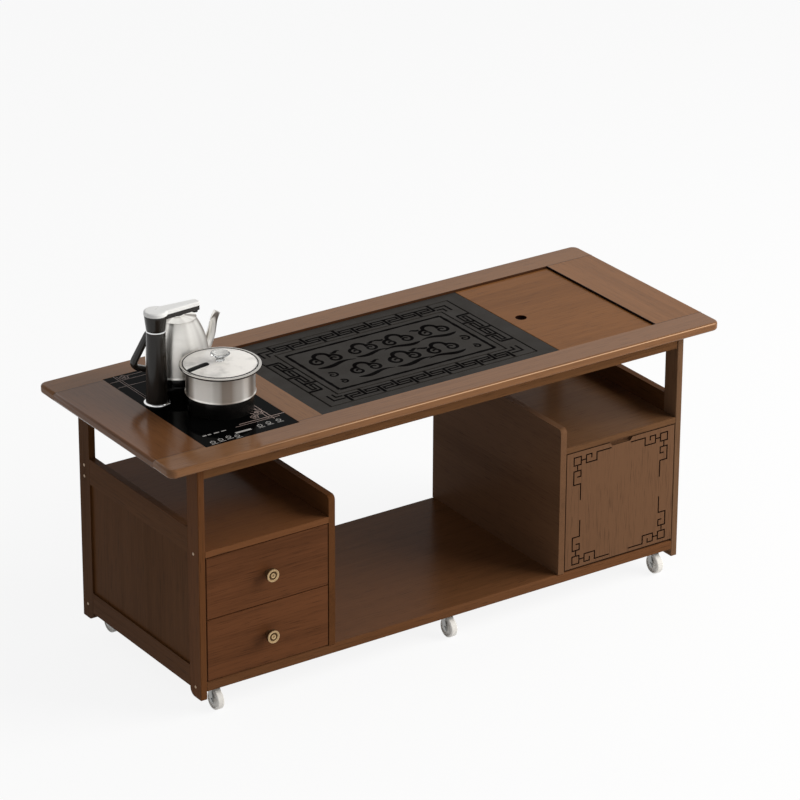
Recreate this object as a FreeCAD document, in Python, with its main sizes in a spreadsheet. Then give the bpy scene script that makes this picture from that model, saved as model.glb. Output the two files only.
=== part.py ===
# Gongfu tea table: a low wooden table on castors with a tea tray slab, a lift-out board,
# a built-in tea stove with its kettle and steriliser pot, two drawers and a carved flap door.
# Millimetres. X runs along the table, -Y is the side where the host sits, Z is up.
# The origin lies on the floor under the middle of the top.
import FreeCAD, Part
import Sketcher
import math
import os

SIZES = {
    # Table top: two long rails, two end boards and a cross strip, butted flush
    "table_height": 531,
    "top_length": 1256,
    "top_width": 480,
    "top_thick": 18,
    "top_corner_radius": 16,
    "top_upper_round": 5,
    "top_lower_round": 6,
    "rail_width": 60,
    "end_board_width": 114,
    "strip_width": 57.5,
    # Slab and board that drop into the top
    "insert_thick": 14,
    "insert_gap": 1,
    "insert_side_gap": 2,
    "board_length": 225.5,
    "slab_edge_round": 1.5,
    "finger_hole_radius": 11,
    "finger_hole_inset": 33,
    "ledge_width": 34,
    "ledge_thick": 12,
    "drain_radius": 6,
    "drain_wall": 2,
    "drain_flange_radius": 13,
    "drain_flange_thick": 2.5,
    "drain_length": 24,
    "drain_barb": 1.2,
    "drain_from_left": 47,
    "drain_from_back": 38,
    "groove_depth": 2,
    "groove_width": 3,
    "outer_groove_side": 36,
    "outer_groove_front": 25,
    "band_width": 42,
    # Tea stove in the left of the top
    "glass_width": 202,
    "glass_depth": 370,
    "glass_thick": 5,
    "glass_lap": 4,
    "glass_gap": 0.3,
    "casing_gap": 3,
    "casing_depth": 50,
    "casing_corner_radius": 8,
    "casing_foot_round": 4,
    # Frame under the top
    "end_overhang": 71,
    "side_overhang": 24,
    "side_thick": 14,
    "stile_width": 38,
    "foot_height": 34.5,
    "foot_round": 15,
    "edge_round": 1.5,
    "deck_under": 50.5,
    "deck_thick": 18.5,
    "deck_chamfer": 3,
    "panel_recess": 4,
    "panel_thick": 5,
    "panel_tongue": 5,
    "bottom_rail_height": 44,
    "mid_rail_under": 325.5,
    "mid_rail_height": 52.5,
    "apron_height": 28.5,
    "apron_thick": 14,
    "apron_setback": 2,
    # Cabinets on the deck
    "left_bay": 270.5,
    "right_bay": 265.5,
    "divider_thick": 14,
    "divider_top": 380,
    "divider_round": 10,
    "shelf_under": 325.3,
    "shelf_thick": 12.5,
    "back_panel_thick": 5,
    "back_panel_setback": 8,
    # Drawers
    "front_gap": 2,
    "front_thick": 15,
    "front_round": 1.2,
    "drawer_side_thick": 12,
    "drawer_side_height": 92,
    "drawer_back_gap": 19,
    "drawer_case_gap": 3,
    "drawer_floor_thick": 5,
    "drawer_floor_rise": 8,
    "drawer_drop": 12,
    "runner_reach": 8.5,
    "runner_height": 12,
    "runner_rise": 42,
    "runner_clearance": 0.3,
    "runner_side_clearance": 0.5,
    "runner_setback": 4,
    # Drawer knobs
    "knob_radius": 13,
    "knob_reach": 20,
    "knob_flange_radius": 8,
    "knob_neck_radius": 4.5,
    "knob_rim": 2.6,
    "knob_dish": 1.8,
    "knob_boss_radius": 5,
    "knob_head_thick": 7,
    "knob_flange_thick": 2,
    "knob_screw_radius": 2,
    "knob_screw_length": 11,
    # Flap door
    "pivot_inset": 6.5,
    "pivot_radius": 3,
    "pivot_clearance": 0.05,
    "pivot_hold": 8,
    "pivot_reach": 10,
    "pivot_end_gap": 1,
    "door_foot_round": 5,
    "scoop_width": 58,
    "scoop_height": 7,
    "scoop_depth": 8,
    "fret_width": 2.8,
    "fret_depth": 2,
    "fret_side_margin": 15.5,
    "fret_top_margin": 9.5,
    "fret_square": 17,
    "fret_link": 12.5,
    "fret_hook": 25.5,
    "fret_tick": 13,
    "fret_rise": 7.5,
    "fret_tail": 34,
    "fret_pillar": 29,
    # Castors
    "wheel_radius": 20,
    "wheel_width": 15,
    "wheel_round": 3,
    "wheel_dish": 2.2,
    "wheel_rim": 4,
    "wheel_hub_radius": 6,
    "hub_proud": 0.4,
    "axle_radius": 2.5,
    "axle_clearance": 0.05,
    "axle_head_radius": 4,
    "axle_head_thick": 1.2,
    "castor_trail": 10,
    "castor_plate": 38,
    "castor_plate_thick": 2.5,
    "kingpin_radius": 4,
    "kingpin_clearance": 0.08,
    "kingpin_head_radius": 6.5,
    "kingpin_head_thick": 1.6,
    "swivel_gap": 0.3,
    "fork_top_radius": 13,
    "fork_top_thick": 3.2,
    "fork_leg_thick": 2,
    "fork_leg_gap": 0.7,
    "fork_leg_radius": 6.5,
    "castor_end_inset": 42,
    "castor_side_inset": 26,
    "castor_middle": 15,
    # Pump column beside the stove ware
    "pump_from_left": 31,
    "pump_from_middle": 38,
    "column_foot_radius": 21.3,
    "column_neck_radius": 18.2,
    "column_height": 143,
    "ring_height": 3.4,
    "ring_proud": 0.9,
    "foot_ring_radius": 25.3,
    "foot_ring_height": 3,
    "spigot_radius": 10,
    "spigot_height": 12,
    "spigot_clearance": 0.08,
    "head_radius": 22,
    "head_height": 31,
    "arm_reach": 92,
    "arm_root_half": 15,
    "arm_tip_half": 8.5,
    "arm_thick": 9,
    "arm_round": 4,
    "cap_thick": 8,
    "cap_overhang": 0.5,
    "cap_round": 3.5,
    "outlet_from_tip": 7,
    "outlet_radius": 5.5,
    "outlet_bore": 2.5,
    "outlet_drop": 5,
    # Kettle on its heater seat
    "kettle_from_left": 109,
    "kettle_from_middle": 93,
    "seat_radius": 58,
    "seat_height": 16,
    "seat_round": 2,
    "seat_dish": 1,
    "seat_rim": 4,
    "post_radius": 6,
    "post_height": 7,
    "lift_gap": 0.3,
    "kettle_foot_radius": 59,
    "kettle_foot_height": 14.7,
    "socket_radius": 13,
    "belly_radius": 60,
    "belly_rise": 25,
    "shoulder_rise": 77.5,
    "mouth_radius": 37,
    "steel_wall": 1.2,
    "lip_height": 1.5,
    "lid_overlap": 0.5,
    "lid_clearance": 0.5,
    "lid_skirt": 4,
    "lid_edge": 1.3,
    "lid_dome": 3,
    "lid_collar_radius": 16,
    "lid_collar_height": 1.6,
    "fill_hole_radius": 13,
    # Kettle spout and handle, measured out from the kettle's axis
    "spout_root_out": 52,
    "spout_root_rise": 24,
    "spout_root_radius": 15,
    "spout_low_out": 69,
    "spout_low_rise": 41,
    "spout_low_radius": 10,
    "spout_mid_out": 78,
    "spout_mid_rise": 66,
    "spout_mid_radius": 7.6,
    "spout_tip_out": 89,
    "spout_tip_rise": 95,
    "spout_tip_radius": 6.6,
    "spout_wall": 1.1,
    "grip_root_out": 30,
    "grip_top_rise": 87,
    "grip_top_out": 61,
    "grip_low_out": 100,
    "grip_low_rise": 27,
    "grip_base_out": 50,
    "grip_base_rise": 7,
    "grip_bend": 14,
    "grip_corner": 11,
    "grip_width": 17,
    "grip_thick": 11,
    # Steriliser pot with its glass lid
    "pot_from_left": 118,
    "pot_from_middle": 46,
    "hob_radius": 62,
    "hob_height": 32,
    "pot_radius": 65,
    "pot_height": 52.5,
    "pot_corner": 5,
    "lip_radius": 74,
    "lip_thick": 1.6,
    "lid_ring_radius": 77,
    "lid_ring_width": 6.5,
    "lid_ring_height": 4.4,
    "lid_ring_round": 1.6,
    "lid_glass_thick": 3,
    "lid_glass_inset": 2,
    "lid_glass_dome": 6,
    "pot_knob_radius": 19,
    "pot_knob_neck": 6.5,
    "pot_knob_height": 20,
    "pot_knob_foot": 9,
    "pot_knob_foot_thick": 2.5,
    "pot_knob_edge": 2.5,
    "pot_knob_dish": 4,
    # Length by which every cutting tool runs past what it cuts
    "overrun": 2,
}

doc = FreeCAD.newDocument("gongfu_tea_table")
sheet = doc.addObject("Spreadsheet::Sheet", "sizes")
for row, (alias, value) in enumerate(SIZES.items(), 1):
    sheet.set(f"A{row}", alias)
    sheet.set(f"B{row}", str(value))
    sheet.setAlias(f"B{row}", alias)
doc.recompute()


class Measure:
    """A size in millimetres that keeps the spreadsheet formula it comes from."""

    def __init__(self, number, text):
        self.number = number
        self.text = text

    def combine(self, other, sign, number):
        return Measure(number, f"({self.text} {sign} {measure(other).text})")

    def __add__(self, other):
        return self.combine(other, "+", self.number + measure(other).number)

    def __radd__(self, other):
        return measure(other) + self

    def __sub__(self, other):
        return self.combine(other, "-", self.number - measure(other).number)

    def __rsub__(self, other):
        return measure(other) - self

    def __mul__(self, other):
        return self.combine(other, "*", self.number * measure(other).number)

    def __rmul__(self, other):
        return measure(other) * self

    def __truediv__(self, other):
        return self.combine(other, "/", self.number / measure(other).number)

    def __neg__(self):
        return Measure(-self.number, f"(-{self.text})")


def measure(value):
    return value if isinstance(value, Measure) else Measure(value, repr(value))


class Sizes:
    """Reads a named size as a Measure: s.top_length is the cell with that alias."""

    def __getattr__(self, name):
        return Measure(SIZES[name], f"sizes.{name}")


s = Sizes()
pieces = []


def bind(item, prop, value):
    item.setExpression(prop, measure(value).text)


def settle(item, x, y, z):
    for axis, value in zip("xyz", (x, y, z)):
        bind(item, f"Placement.Base.{axis}", value)


def piece(item):
    """Notes a finished sub-part, whose label names its file."""
    pieces.append(item)
    return item


def box(label, x, y, z, kind="Part::Box", parent=doc):
    """A box between the lowest and highest places given for each axis."""
    add = parent.addObject if parent is doc else parent.newObject
    solid = add(kind, label)
    for prop, (low, high) in zip(("Length", "Width", "Height"), (x, y, z)):
        bind(solid, prop, high - low)
    settle(solid, x[0], y[0], z[0])
    return solid


TURNS = {
    "x": FreeCAD.Rotation(FreeCAD.Vector(0, 1, 0), 90),
    "-y": FreeCAD.Rotation(FreeCAD.Vector(1, 0, 0), 90),
    "z": FreeCAD.Rotation(),
}


def rod(label, radius, place, length, axis="z"):
    """A cylinder from a place, along an axis."""
    solid = doc.addObject("Part::Cylinder", label)
    solid.Placement.Rotation = TURNS[axis]
    bind(solid, "Radius", radius)
    bind(solid, "Height", length)
    settle(solid, *place)
    return solid


def fuse(label, solids):
    joined = doc.addObject("Part::MultiFuse", label)
    joined.Shapes = solids
    return joined


def cut(label, base, tools):
    """The base with every tool taken away."""
    result = doc.addObject("Part::Cut", label)
    result.Base = base
    result.Tool = tools[0] if len(tools) == 1 else fuse(f"{label}_tools", tools)
    return result


def group(label, solids):
    """Separate solids that share one node."""
    together = doc.addObject("Part::Compound", label)
    together.Links = solids
    return together


def new_body(label):
    return doc.addObject("PartDesign::Body", label)


def arc_between(start, end, radius, left):
    """The shorter arc from start to end, turning left or right."""
    middle = (start + end) / 2
    half = (end - start) / 2
    rise = math.sqrt(max(radius**2 - half.Length**2, 0))
    side = FreeCAD.Vector(-half.y, half.x, 0).normalize()
    centre = middle + side * (rise if left else -rise)
    first, last = (start, end) if left else (end, start)
    angles = [math.atan2(p.y - centre.y, p.x - centre.x) for p in (first, last)]
    if angles[1] < angles[0]:
        angles[1] += math.tau
    circle = Part.Circle(centre, FreeCAD.Vector(0, 0, 1), radius)
    return Part.ArcOfCircle(circle, *angles)


def sketch(body, plane, start, steps, height=0, closed=True):
    """An outline on one of the body's own planes. A step is (x, y) for a straight run, or
    (x, y, radius, "left" or "right") for an arc that turns that way."""
    drawing = body.newObject("Sketcher::SketchObject", f"{body.Name}_sketch")
    origin_plane = next(item for item in body.Origin.OriginFeatures if item.Role == plane)
    drawing.AttachmentSupport = (origin_plane, [""])
    drawing.MapMode = "FlatFace"
    bind(drawing, "AttachmentOffset.Base.z", height)
    stops = [start] + [step[:2] for step in steps]
    spots = [FreeCAD.Vector(measure(x).number, measure(y).number, 0) for x, y in stops]
    ends = []
    for index, step in enumerate(steps):
        near, far = spots[index], spots[index + 1]
        if len(step) == 2:
            number = drawing.addGeometry(Part.LineSegment(near, far), False)
            ends.append((number, 1, 2))
            continue
        left = step[3] == "left"
        number = drawing.addGeometry(arc_between(near, far, step[2].number, left), False)
        ends.append((number, 1, 2) if left else (number, 2, 1))
        pin = drawing.addConstraint(Sketcher.Constraint("Radius", number, step[2].number))
        bind(drawing, f"Constraints[{pin}]", step[2])
    joints = zip(ends, ends[1:] + ends[:1]) if closed else zip(ends, ends[1:])
    for (number, _, last), (following, first, _) in joints:
        drawing.addConstraint(Sketcher.Constraint("Coincident", number, last, following, first))
    fixed = list(zip(stops, ends, (end[1] for end in ends)))
    if not closed:
        fixed.append((stops[-1], ends[-1], ends[-1][2]))
    for (x, y), end, corner in fixed:
        for kind, value in (("DistanceX", x), ("DistanceY", y)):
            amount = measure(value)
            rule = Sketcher.Constraint(kind, -1, 1, end[0], corner, amount.number)
            pin = drawing.addConstraint(rule)
            bind(drawing, f"Constraints[{pin}]", amount)
    return drawing


def pad(body, plane, start, steps, low, high):
    """A prism on an outline. Pads on the XZ plane grow towards -Y, the others towards +X or +Z."""
    flipped = plane == "XZ_Plane"
    drawing = sketch(body, plane, start, steps, -high if flipped else low)
    solid = body.newObject("PartDesign::Pad", f"{body.Name}_pad")
    solid.Profile = drawing
    bind(solid, "Length", high - low)
    return solid


def turned(label, start, steps, place, axis="z"):
    """A turned piece: an outline of (radius, height) spun about its own Z axis."""
    body = new_body(label)
    drawing = sketch(body, "XZ_Plane", start, steps)
    spin = body.newObject("PartDesign::Revolution", f"{label}_turn")
    spin.Profile = drawing
    spin.ReferenceAxis = (drawing, ["V_Axis"])
    spin.Angle = 360
    body.Placement.Rotation = TURNS[axis]
    settle(body, *place)
    return body


def soften(body, base, radius, wanted):
    """Rounds the edges of a feature whose middle passes the test."""
    doc.recompute()
    names = []
    for index, edge in enumerate(base.Shape.Edges, 1):
        middle = edge.valueAt((edge.FirstParameter + edge.LastParameter) / 2)
        if wanted(middle, edge):
            names.append(f"Edge{index}")
    rounding = body.newObject("PartDesign::Fillet", f"{body.Name}_round")
    rounding.Base = (base, names)
    bind(rounding, "Radius", radius)
    return rounding


def near(value, target):
    return abs(value - measure(target).number) < s.overrun.number / 1000


# Places along the height that several pieces share
top_under = s.table_height - s.top_thick
insert_under = s.table_height - s.top_thick
insert_top = insert_under + s.insert_thick
deck_top = s.deck_under + s.deck_thick
apron_under = top_under - s.apron_height

# Openings in the top
half_length = s.top_length / 2
half_width = s.top_width / 2
opening_side = half_width - s.rail_width
opening_left = -half_length + s.end_board_width
opening_right = half_length - s.end_board_width
stove_right = opening_left + s.glass_width - 2 * s.glass_lap
strip_right = stove_right + s.strip_width
slab_left = strip_right + s.insert_gap
board_right = opening_right - s.insert_gap
board_left = board_right - s.board_length
slab_right = board_left - s.insert_gap
glass_left = opening_left - s.glass_lap
glass_right = stove_right + s.glass_lap
glass_half = s.glass_depth / 2


# Table top
def glass_rabbet(label):
    """The step round the stove opening that the glass lies in."""
    return box(
        label,
        (glass_left - s.glass_gap, glass_right + s.glass_gap),
        (-glass_half - s.glass_gap, glass_half + s.glass_gap),
        (s.table_height - s.glass_thick, s.table_height + s.overrun),
    )


def long_rail(label, side):
    """A rail along the front (-1) or back (1), with both outer corners rounded."""
    body = new_body(f"{label}_board")
    turn = "left" if side < 0 else "right"
    solid = pad(
        body,
        "XY_Plane",
        (-half_length, side * opening_side),
        [
            (-half_length, side * (half_width - s.top_corner_radius)),
            (-half_length + s.top_corner_radius, side * half_width, s.top_corner_radius, turn),
            (half_length - s.top_corner_radius, side * half_width),
            (half_length, side * (half_width - s.top_corner_radius), s.top_corner_radius, turn),
            (half_length, side * opening_side),
            (-half_length, side * opening_side),
        ],
        top_under,
        s.table_height,
    )
    upper = soften(
        body, solid, s.top_upper_round,
        lambda spot, edge: near(spot.z, s.table_height) and not near(spot.y, side * opening_side),
    )
    soften(
        body, upper, s.top_lower_round,
        lambda spot, edge: near(spot.z, top_under) and not near(spot.y, side * opening_side),
    )
    return piece(cut(label, body, [glass_rabbet(f"{label}_rabbet")]))


def end_board(label, side):
    """The board that closes the left (-1) or right (1) end between the rails."""
    body = new_body(f"{label}_board")
    inner = side * (half_length - s.end_board_width)
    outer = side * half_length
    solid = pad(
        body,
        "XY_Plane",
        (inner, -opening_side),
        [(outer, -opening_side), (outer, opening_side), (inner, opening_side), (inner, -opening_side)],
        top_under,
        s.table_height,
    )
    upper = soften(
        body, solid, s.top_upper_round,
        lambda spot, edge: near(spot.z, s.table_height) and near(spot.x, outer),
    )
    lower = soften(
        body, upper, s.top_lower_round,
        lambda spot, edge: near(spot.z, top_under) and near(spot.x, outer),
    )
    if side > 0:
        body.Label = label
        body.Tip = lower
        return piece(body)
    return piece(cut(label, body, [glass_rabbet(f"{label}_rabbet")]))


long_rail("top_front_rail", -1)
long_rail("top_back_rail", 1)
end_board("top_left_board", -1)
end_board("top_right_board", 1)

strip_blank = box(
    "strip_blank",
    (stove_right, strip_right),
    (-opening_side, opening_side),
    (top_under, s.table_height),
)
piece(cut("top_cross_strip", strip_blank, [glass_rabbet("strip_rabbet")]))

# Ledges screwed under the top, which carry the strip, the slab and the board
ledge_low = top_under - s.ledge_thick
ledge_outer = opening_side + s.ledge_width / 2
ledge_inner = opening_side - s.ledge_width / 2
ledge_end = opening_right + s.ledge_width / 2
side_ledges = [
    box(
        f"side_ledge_{name}",
        (stove_right, ledge_end),
        (low, high),
        (ledge_low, top_under),
    )
    for name, low, high in (("front", -ledge_outer, -ledge_inner), ("back", ledge_inner, ledge_outer))
]
cross_ledges = [
    box(
        f"cross_ledge_{name}",
        (centre - s.ledge_width / 2, centre + s.ledge_width / 2),
        (-ledge_inner, ledge_inner),
        (ledge_low, top_under),
    )
    for name, centre in (
        ("strip", strip_right),
        ("seam", (slab_right + board_left) / 2),
        ("end", opening_right),
    )
]
piece(group("top_ledges", side_ledges + cross_ledges))

# Tea tray slab, with the two framing grooves of its carving and a drain hole
insert_side = opening_side - s.insert_side_gap
slab_blank = box("slab_blank", (slab_left, slab_right), (-insert_side, insert_side), (insert_under, insert_top))


def groove_frame(label, side, front):
    """A rectangular groove, set in from the slab's ends and from its front and back."""
    floor = insert_top - s.groove_depth
    outer = box(
        f"{label}_outer",
        (slab_left + side, slab_right - side),
        (-insert_side + front, insert_side - front),
        (floor, insert_top + s.overrun),
    )
    inner = box(
        f"{label}_inner",
        (slab_left + side + s.groove_width, slab_right - side - s.groove_width),
        (-insert_side + front + s.groove_width, insert_side - front - s.groove_width),
        (floor - s.overrun, insert_top + 2 * s.overrun),
    )
    return cut(label, outer, [inner])


drain_x = slab_left + s.drain_from_left
drain_y = insert_side - s.drain_from_back
slab_drain_hole = rod(
    "slab_drain_hole",
    s.drain_radius,
    (drain_x, drain_y, insert_under - s.overrun),
    s.insert_thick + 2 * s.overrun,
)
piece(
    cut(
        "tea_slab",
        slab_blank,
        [
            groove_frame("outer_groove", s.outer_groove_side, s.outer_groove_front),
            groove_frame(
                "inner_groove",
                s.outer_groove_side + s.band_width,
                s.outer_groove_front + s.band_width,
            ),
            slab_drain_hole,
        ],
    )
)

# Drain spigot glued under the slab's hole
spigot_outer = s.drain_radius + s.drain_wall
spigot_tip = insert_under - s.drain_length
barb = spigot_outer + s.drain_barb
piece(
    turned(
        "slab_drain",
        (s.drain_radius, 0),
        [
            (s.drain_flange_radius, 0),
            (s.drain_flange_radius, -s.drain_flange_thick),
            (spigot_outer, -s.drain_flange_thick),
            (spigot_outer, -s.drain_length * 0.6),
            (barb, -s.drain_length * 0.6),
            (spigot_outer, -s.drain_length * 0.8),
            (spigot_outer, -s.drain_length),
            (s.drain_radius, -s.drain_length),
            (s.drain_radius, 0),
        ],
        (drain_x, drain_y, insert_under),
    )
)

# Lift-out board with its finger hole
board_blank = box("board_blank", (board_left, board_right), (-insert_side, insert_side), (insert_under, insert_top))
finger_hole = rod(
    "finger_hole",
    s.finger_hole_radius,
    (board_left + s.finger_hole_inset, 0, insert_under - s.overrun),
    s.insert_thick + 2 * s.overrun,
)
piece(cut("cover_board", board_blank, [finger_hole]))

# Tea stove: glass, and a sheet steel casing that hangs under it
glass_low = s.table_height - s.glass_thick
piece(
    box(
        "stove_glass",
        (glass_left, glass_right),
        (-glass_half, glass_half),
        (glass_low, s.table_height),
    )
)
casing = new_body("stove_casing")
casing_left = opening_left + s.casing_gap
casing_right = stove_right - s.casing_gap
casing_side = opening_side - s.casing_gap
corner = s.casing_corner_radius
casing_block = pad(
    casing,
    "XY_Plane",
    (casing_left + corner, -casing_side),
    [
        (casing_right - corner, -casing_side),
        (casing_right, -casing_side + corner, corner, "left"),
        (casing_right, casing_side - corner),
        (casing_right - corner, casing_side, corner, "left"),
        (casing_left + corner, casing_side),
        (casing_left, casing_side - corner, corner, "left"),
        (casing_left, -casing_side + corner),
        (casing_left + corner, -casing_side, corner, "left"),
    ],
    glass_low - s.casing_depth,
    glass_low,
)
soften(casing, casing_block, s.casing_foot_round, lambda spot, edge: near(spot.z, glass_low - s.casing_depth))
piece(casing)

# Side frames: two stiles with rounded feet, three rails and a panel in grooves
base_half = half_length - s.end_overhang
base_side = half_width - s.side_overhang
bay_end = base_half - s.side_thick
stile_inner = base_side - s.stile_width
bottom_rail_top = s.deck_under + s.bottom_rail_height
mid_rail_top = s.mid_rail_under + s.mid_rail_height
SIDES = (("left", -1), ("right", 1))
DEPTHS = (("front", -1), ("back", 1))


def between(first, second):
    """Two places in rising order."""
    return (first, second) if first.number < second.number else (second, first)


side_panels = []
side_rails = []
pivot_y = -base_side + s.pivot_inset
door_bottom = deck_top + s.front_gap
pivot_z = door_bottom + s.pivot_inset
for name, side in SIDES:
    frame_x = between(side * bay_end, side * base_half)
    panel_outer = side * (base_half - s.panel_recess)
    panel_x = between(panel_outer, panel_outer - side * s.panel_thick)
    panel = box(
        f"side_panel_{name}",
        panel_x,
        (-stile_inner - s.panel_tongue, stile_inner + s.panel_tongue),
        (bottom_rail_top - s.panel_tongue, s.mid_rail_under + s.panel_tongue),
    )
    side_panels.append(panel)
    for depth_name, depth in DEPTHS:
        label = f"{depth_name}_{name}_stile"
        body = new_body(f"{label}_board")
        turn = "left" if depth < 0 else "right"
        solid = pad(
            body,
            "YZ_Plane",
            (depth * base_side, s.foot_height),
            [
                (depth * (stile_inner + s.foot_round), s.foot_height),
                (depth * stile_inner, s.foot_height + s.foot_round, s.foot_round, turn),
                (depth * stile_inner, top_under),
                (depth * base_side, top_under),
                (depth * base_side, s.foot_height),
            ],
            *frame_x,
        )
        soften(
            body, solid, s.edge_round,
            lambda spot, edge: near(spot.y, depth * base_side) and edge.Length > s.stile_width.number,
        )
        tools = [panel]
        if (name, depth_name) == ("right", "front"):
            tools.append(
                rod(
                    "stile_pivot_hole",
                    s.pivot_radius,
                    (bay_end - s.overrun, pivot_y, pivot_z),
                    s.pivot_hold + s.overrun,
                    "x",
                )
            )
        piece(cut(label, body, tools))
    for rail_name, low, high in (
        ("top", apron_under, top_under),
        ("mid", s.mid_rail_under, mid_rail_top),
        ("bottom", s.deck_under, bottom_rail_top),
    ):
        rail = box(f"{rail_name}_rail_{name}", frame_x, (-stile_inner, stile_inner), (low, high))
        side_rails.append(cut(f"{rail_name}_rail_{name}_grooved", rail, [panel]))
piece(group("side_frame_rails", side_rails))
piece(group("side_panels", side_panels))

# Aprons under the front and back of the top
aprons = []
for name, side in DEPTHS:
    face = side * (base_side - s.apron_setback)
    aprons.append(
        box(
            f"apron_{name}",
            (-bay_end, bay_end),
            between(face, face - side * s.apron_thick),
            (apron_under, top_under),
        )
    )
piece(group("aprons", aprons))

# Deck that the cabinets stand on
deck = new_body("deck_board")
pad(
    deck,
    "YZ_Plane",
    (-base_side, s.deck_under),
    [
        (base_side, s.deck_under),
        (base_side, deck_top - s.deck_chamfer),
        (base_side - s.deck_chamfer, deck_top),
        (-base_side + s.deck_chamfer, deck_top),
        (-base_side, deck_top - s.deck_chamfer),
        (-base_side, s.deck_under),
    ],
    -bay_end,
    bay_end,
)
piece(deck)

# Dividers with rounded upper corners
left_divider_x = (-bay_end + s.left_bay, -bay_end + s.left_bay + s.divider_thick)
right_divider_x = (bay_end - s.right_bay - s.divider_thick, bay_end - s.right_bay)
for label, span in (("left_divider", left_divider_x), ("right_divider", right_divider_x)):
    body = new_body(f"{label}_board")
    pad(
        body,
        "YZ_Plane",
        (-base_side, deck_top),
        [
            (base_side, deck_top),
            (base_side, s.divider_top - s.divider_round),
            (base_side - s.divider_round, s.divider_top, s.divider_round, "left"),
            (-base_side + s.divider_round, s.divider_top),
            (-base_side, s.divider_top - s.divider_round, s.divider_round, "left"),
            (-base_side, deck_top),
        ],
        *span,
    )
    if label == "left_divider":
        body.Label = label
        piece(body)
        continue
    divider_hole = rod(
        "divider_pivot_hole",
        s.pivot_radius,
        (span[1] - s.pivot_hold, pivot_y, pivot_z),
        s.pivot_hold + s.overrun,
        "x",
    )
    piece(cut(label, body, [divider_hole]))

# Shelves over the cabinets and panels behind them
left_bay_x = (-bay_end, left_divider_x[0])
right_bay_x = (right_divider_x[1], bay_end)
shelf_top = s.shelf_under + s.shelf_thick
back_outer = base_side - s.back_panel_setback
back_face = back_outer - s.back_panel_thick
back_panels = []
for name, span in (("left", left_bay_x), ("right", right_bay_x)):
    piece(box(f"{name}_shelf", span, (-base_side, base_side), (s.shelf_under, shelf_top)))
    back_panels.append(box(f"back_panel_{name}", span, (back_face, back_outer), (deck_top, s.shelf_under)))
piece(group("cabinet_backs", back_panels))

# Drawers, which hang on runners in the grooves of their sides
front_height = (s.shelf_under - deck_top - 3 * s.front_gap) / 2
front_back = -base_side + s.front_thick
drawer_end = back_face - s.drawer_back_gap
runner_faces = (left_bay_x[0], left_bay_x[1] - s.runner_reach)
runners = []


def drawer_front(label, low, knob_place):
    body = new_body(f"{label}_board")
    solid = pad(
        body,
        "XZ_Plane",
        (left_bay_x[0] + s.front_gap, low),
        [
            (left_bay_x[1] - s.front_gap, low),
            (left_bay_x[1] - s.front_gap, low + front_height),
            (left_bay_x[0] + s.front_gap, low + front_height),
            (left_bay_x[0] + s.front_gap, low),
        ],
        -base_side,
        front_back,
    )
    soften(body, solid, s.front_round, lambda spot, edge: near(spot.y, -base_side))
    hole = rod(
        f"{label}_hole",
        s.knob_screw_radius,
        (knob_place[0], -base_side + s.knob_screw_length, knob_place[2]),
        s.knob_screw_length + s.overrun,
        "-y",
    )
    return piece(cut(label, body, [hole]))


def drawer_knob(label, place):
    """A turned knob with a dished face, a raised rim and a boss, on its own screw."""
    head_back = s.knob_reach - s.knob_head_thick
    face = s.knob_reach - s.knob_dish
    return piece(
        turned(
            label,
            (0, -s.knob_screw_length),
            [
                (s.knob_screw_radius, -s.knob_screw_length),
                (s.knob_screw_radius, 0),
                (s.knob_flange_radius, 0),
                (s.knob_flange_radius, s.knob_flange_thick),
                (s.knob_neck_radius, s.knob_flange_thick * 2),
                (s.knob_neck_radius, head_back - s.knob_flange_thick),
                (s.knob_radius, head_back + s.knob_dish),
                (s.knob_radius, s.knob_reach - s.knob_dish),
                (s.knob_radius - s.knob_dish, s.knob_reach),
                (s.knob_radius - s.knob_rim, s.knob_reach),
                (s.knob_radius - s.knob_rim - s.knob_dish, face),
                (s.knob_boss_radius, face),
                (s.knob_boss_radius - s.knob_dish, s.knob_reach),
                (0, s.knob_reach),
                (0, -s.knob_screw_length),
            ],
            place,
            "-y",
        )
    )


def drawer_box(label, low):
    """Two grooved sides, a back and a floor behind the front."""
    side_low = low + s.drawer_drop
    side_span = (side_low, side_low + s.drawer_side_height)
    length_span = (front_back, drawer_end)
    groove_low = low + s.runner_rise - s.runner_clearance
    outer = (left_bay_x[0] + s.drawer_case_gap, left_bay_x[1] - s.drawer_case_gap)
    inner = (outer[0] + s.drawer_side_thick, outer[1] - s.drawer_side_thick)
    groove_span = (groove_low, groove_low + s.runner_height + 2 * s.runner_clearance)
    groove_reach = s.runner_reach + s.runner_side_clearance
    boards = []
    for name, span, groove in (
        ("left", (outer[0], inner[0]), (left_bay_x[0], left_bay_x[0] + groove_reach)),
        ("right", (inner[1], outer[1]), (left_bay_x[1] - groove_reach, left_bay_x[1])),
    ):
        side = box(f"{label}_{name}_side", span, length_span, side_span)
        channel = box(
            f"{label}_{name}_groove",
            groove,
            (length_span[0] - s.overrun, length_span[1] + s.overrun),
            groove_span,
        )
        boards.append(cut(f"{label}_{name}_grooved", side, [channel]))
    floor_low = side_low + s.drawer_floor_rise
    back_span = (length_span[1] - s.drawer_side_thick, length_span[1])
    boards.append(box(f"{label}_back", inner, back_span, (floor_low, side_span[1])))
    boards.append(
        box(
            f"{label}_floor",
            inner,
            (front_back, back_span[0]),
            (floor_low, floor_low + s.drawer_floor_thick),
        )
    )
    return piece(group(label, boards))


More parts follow.
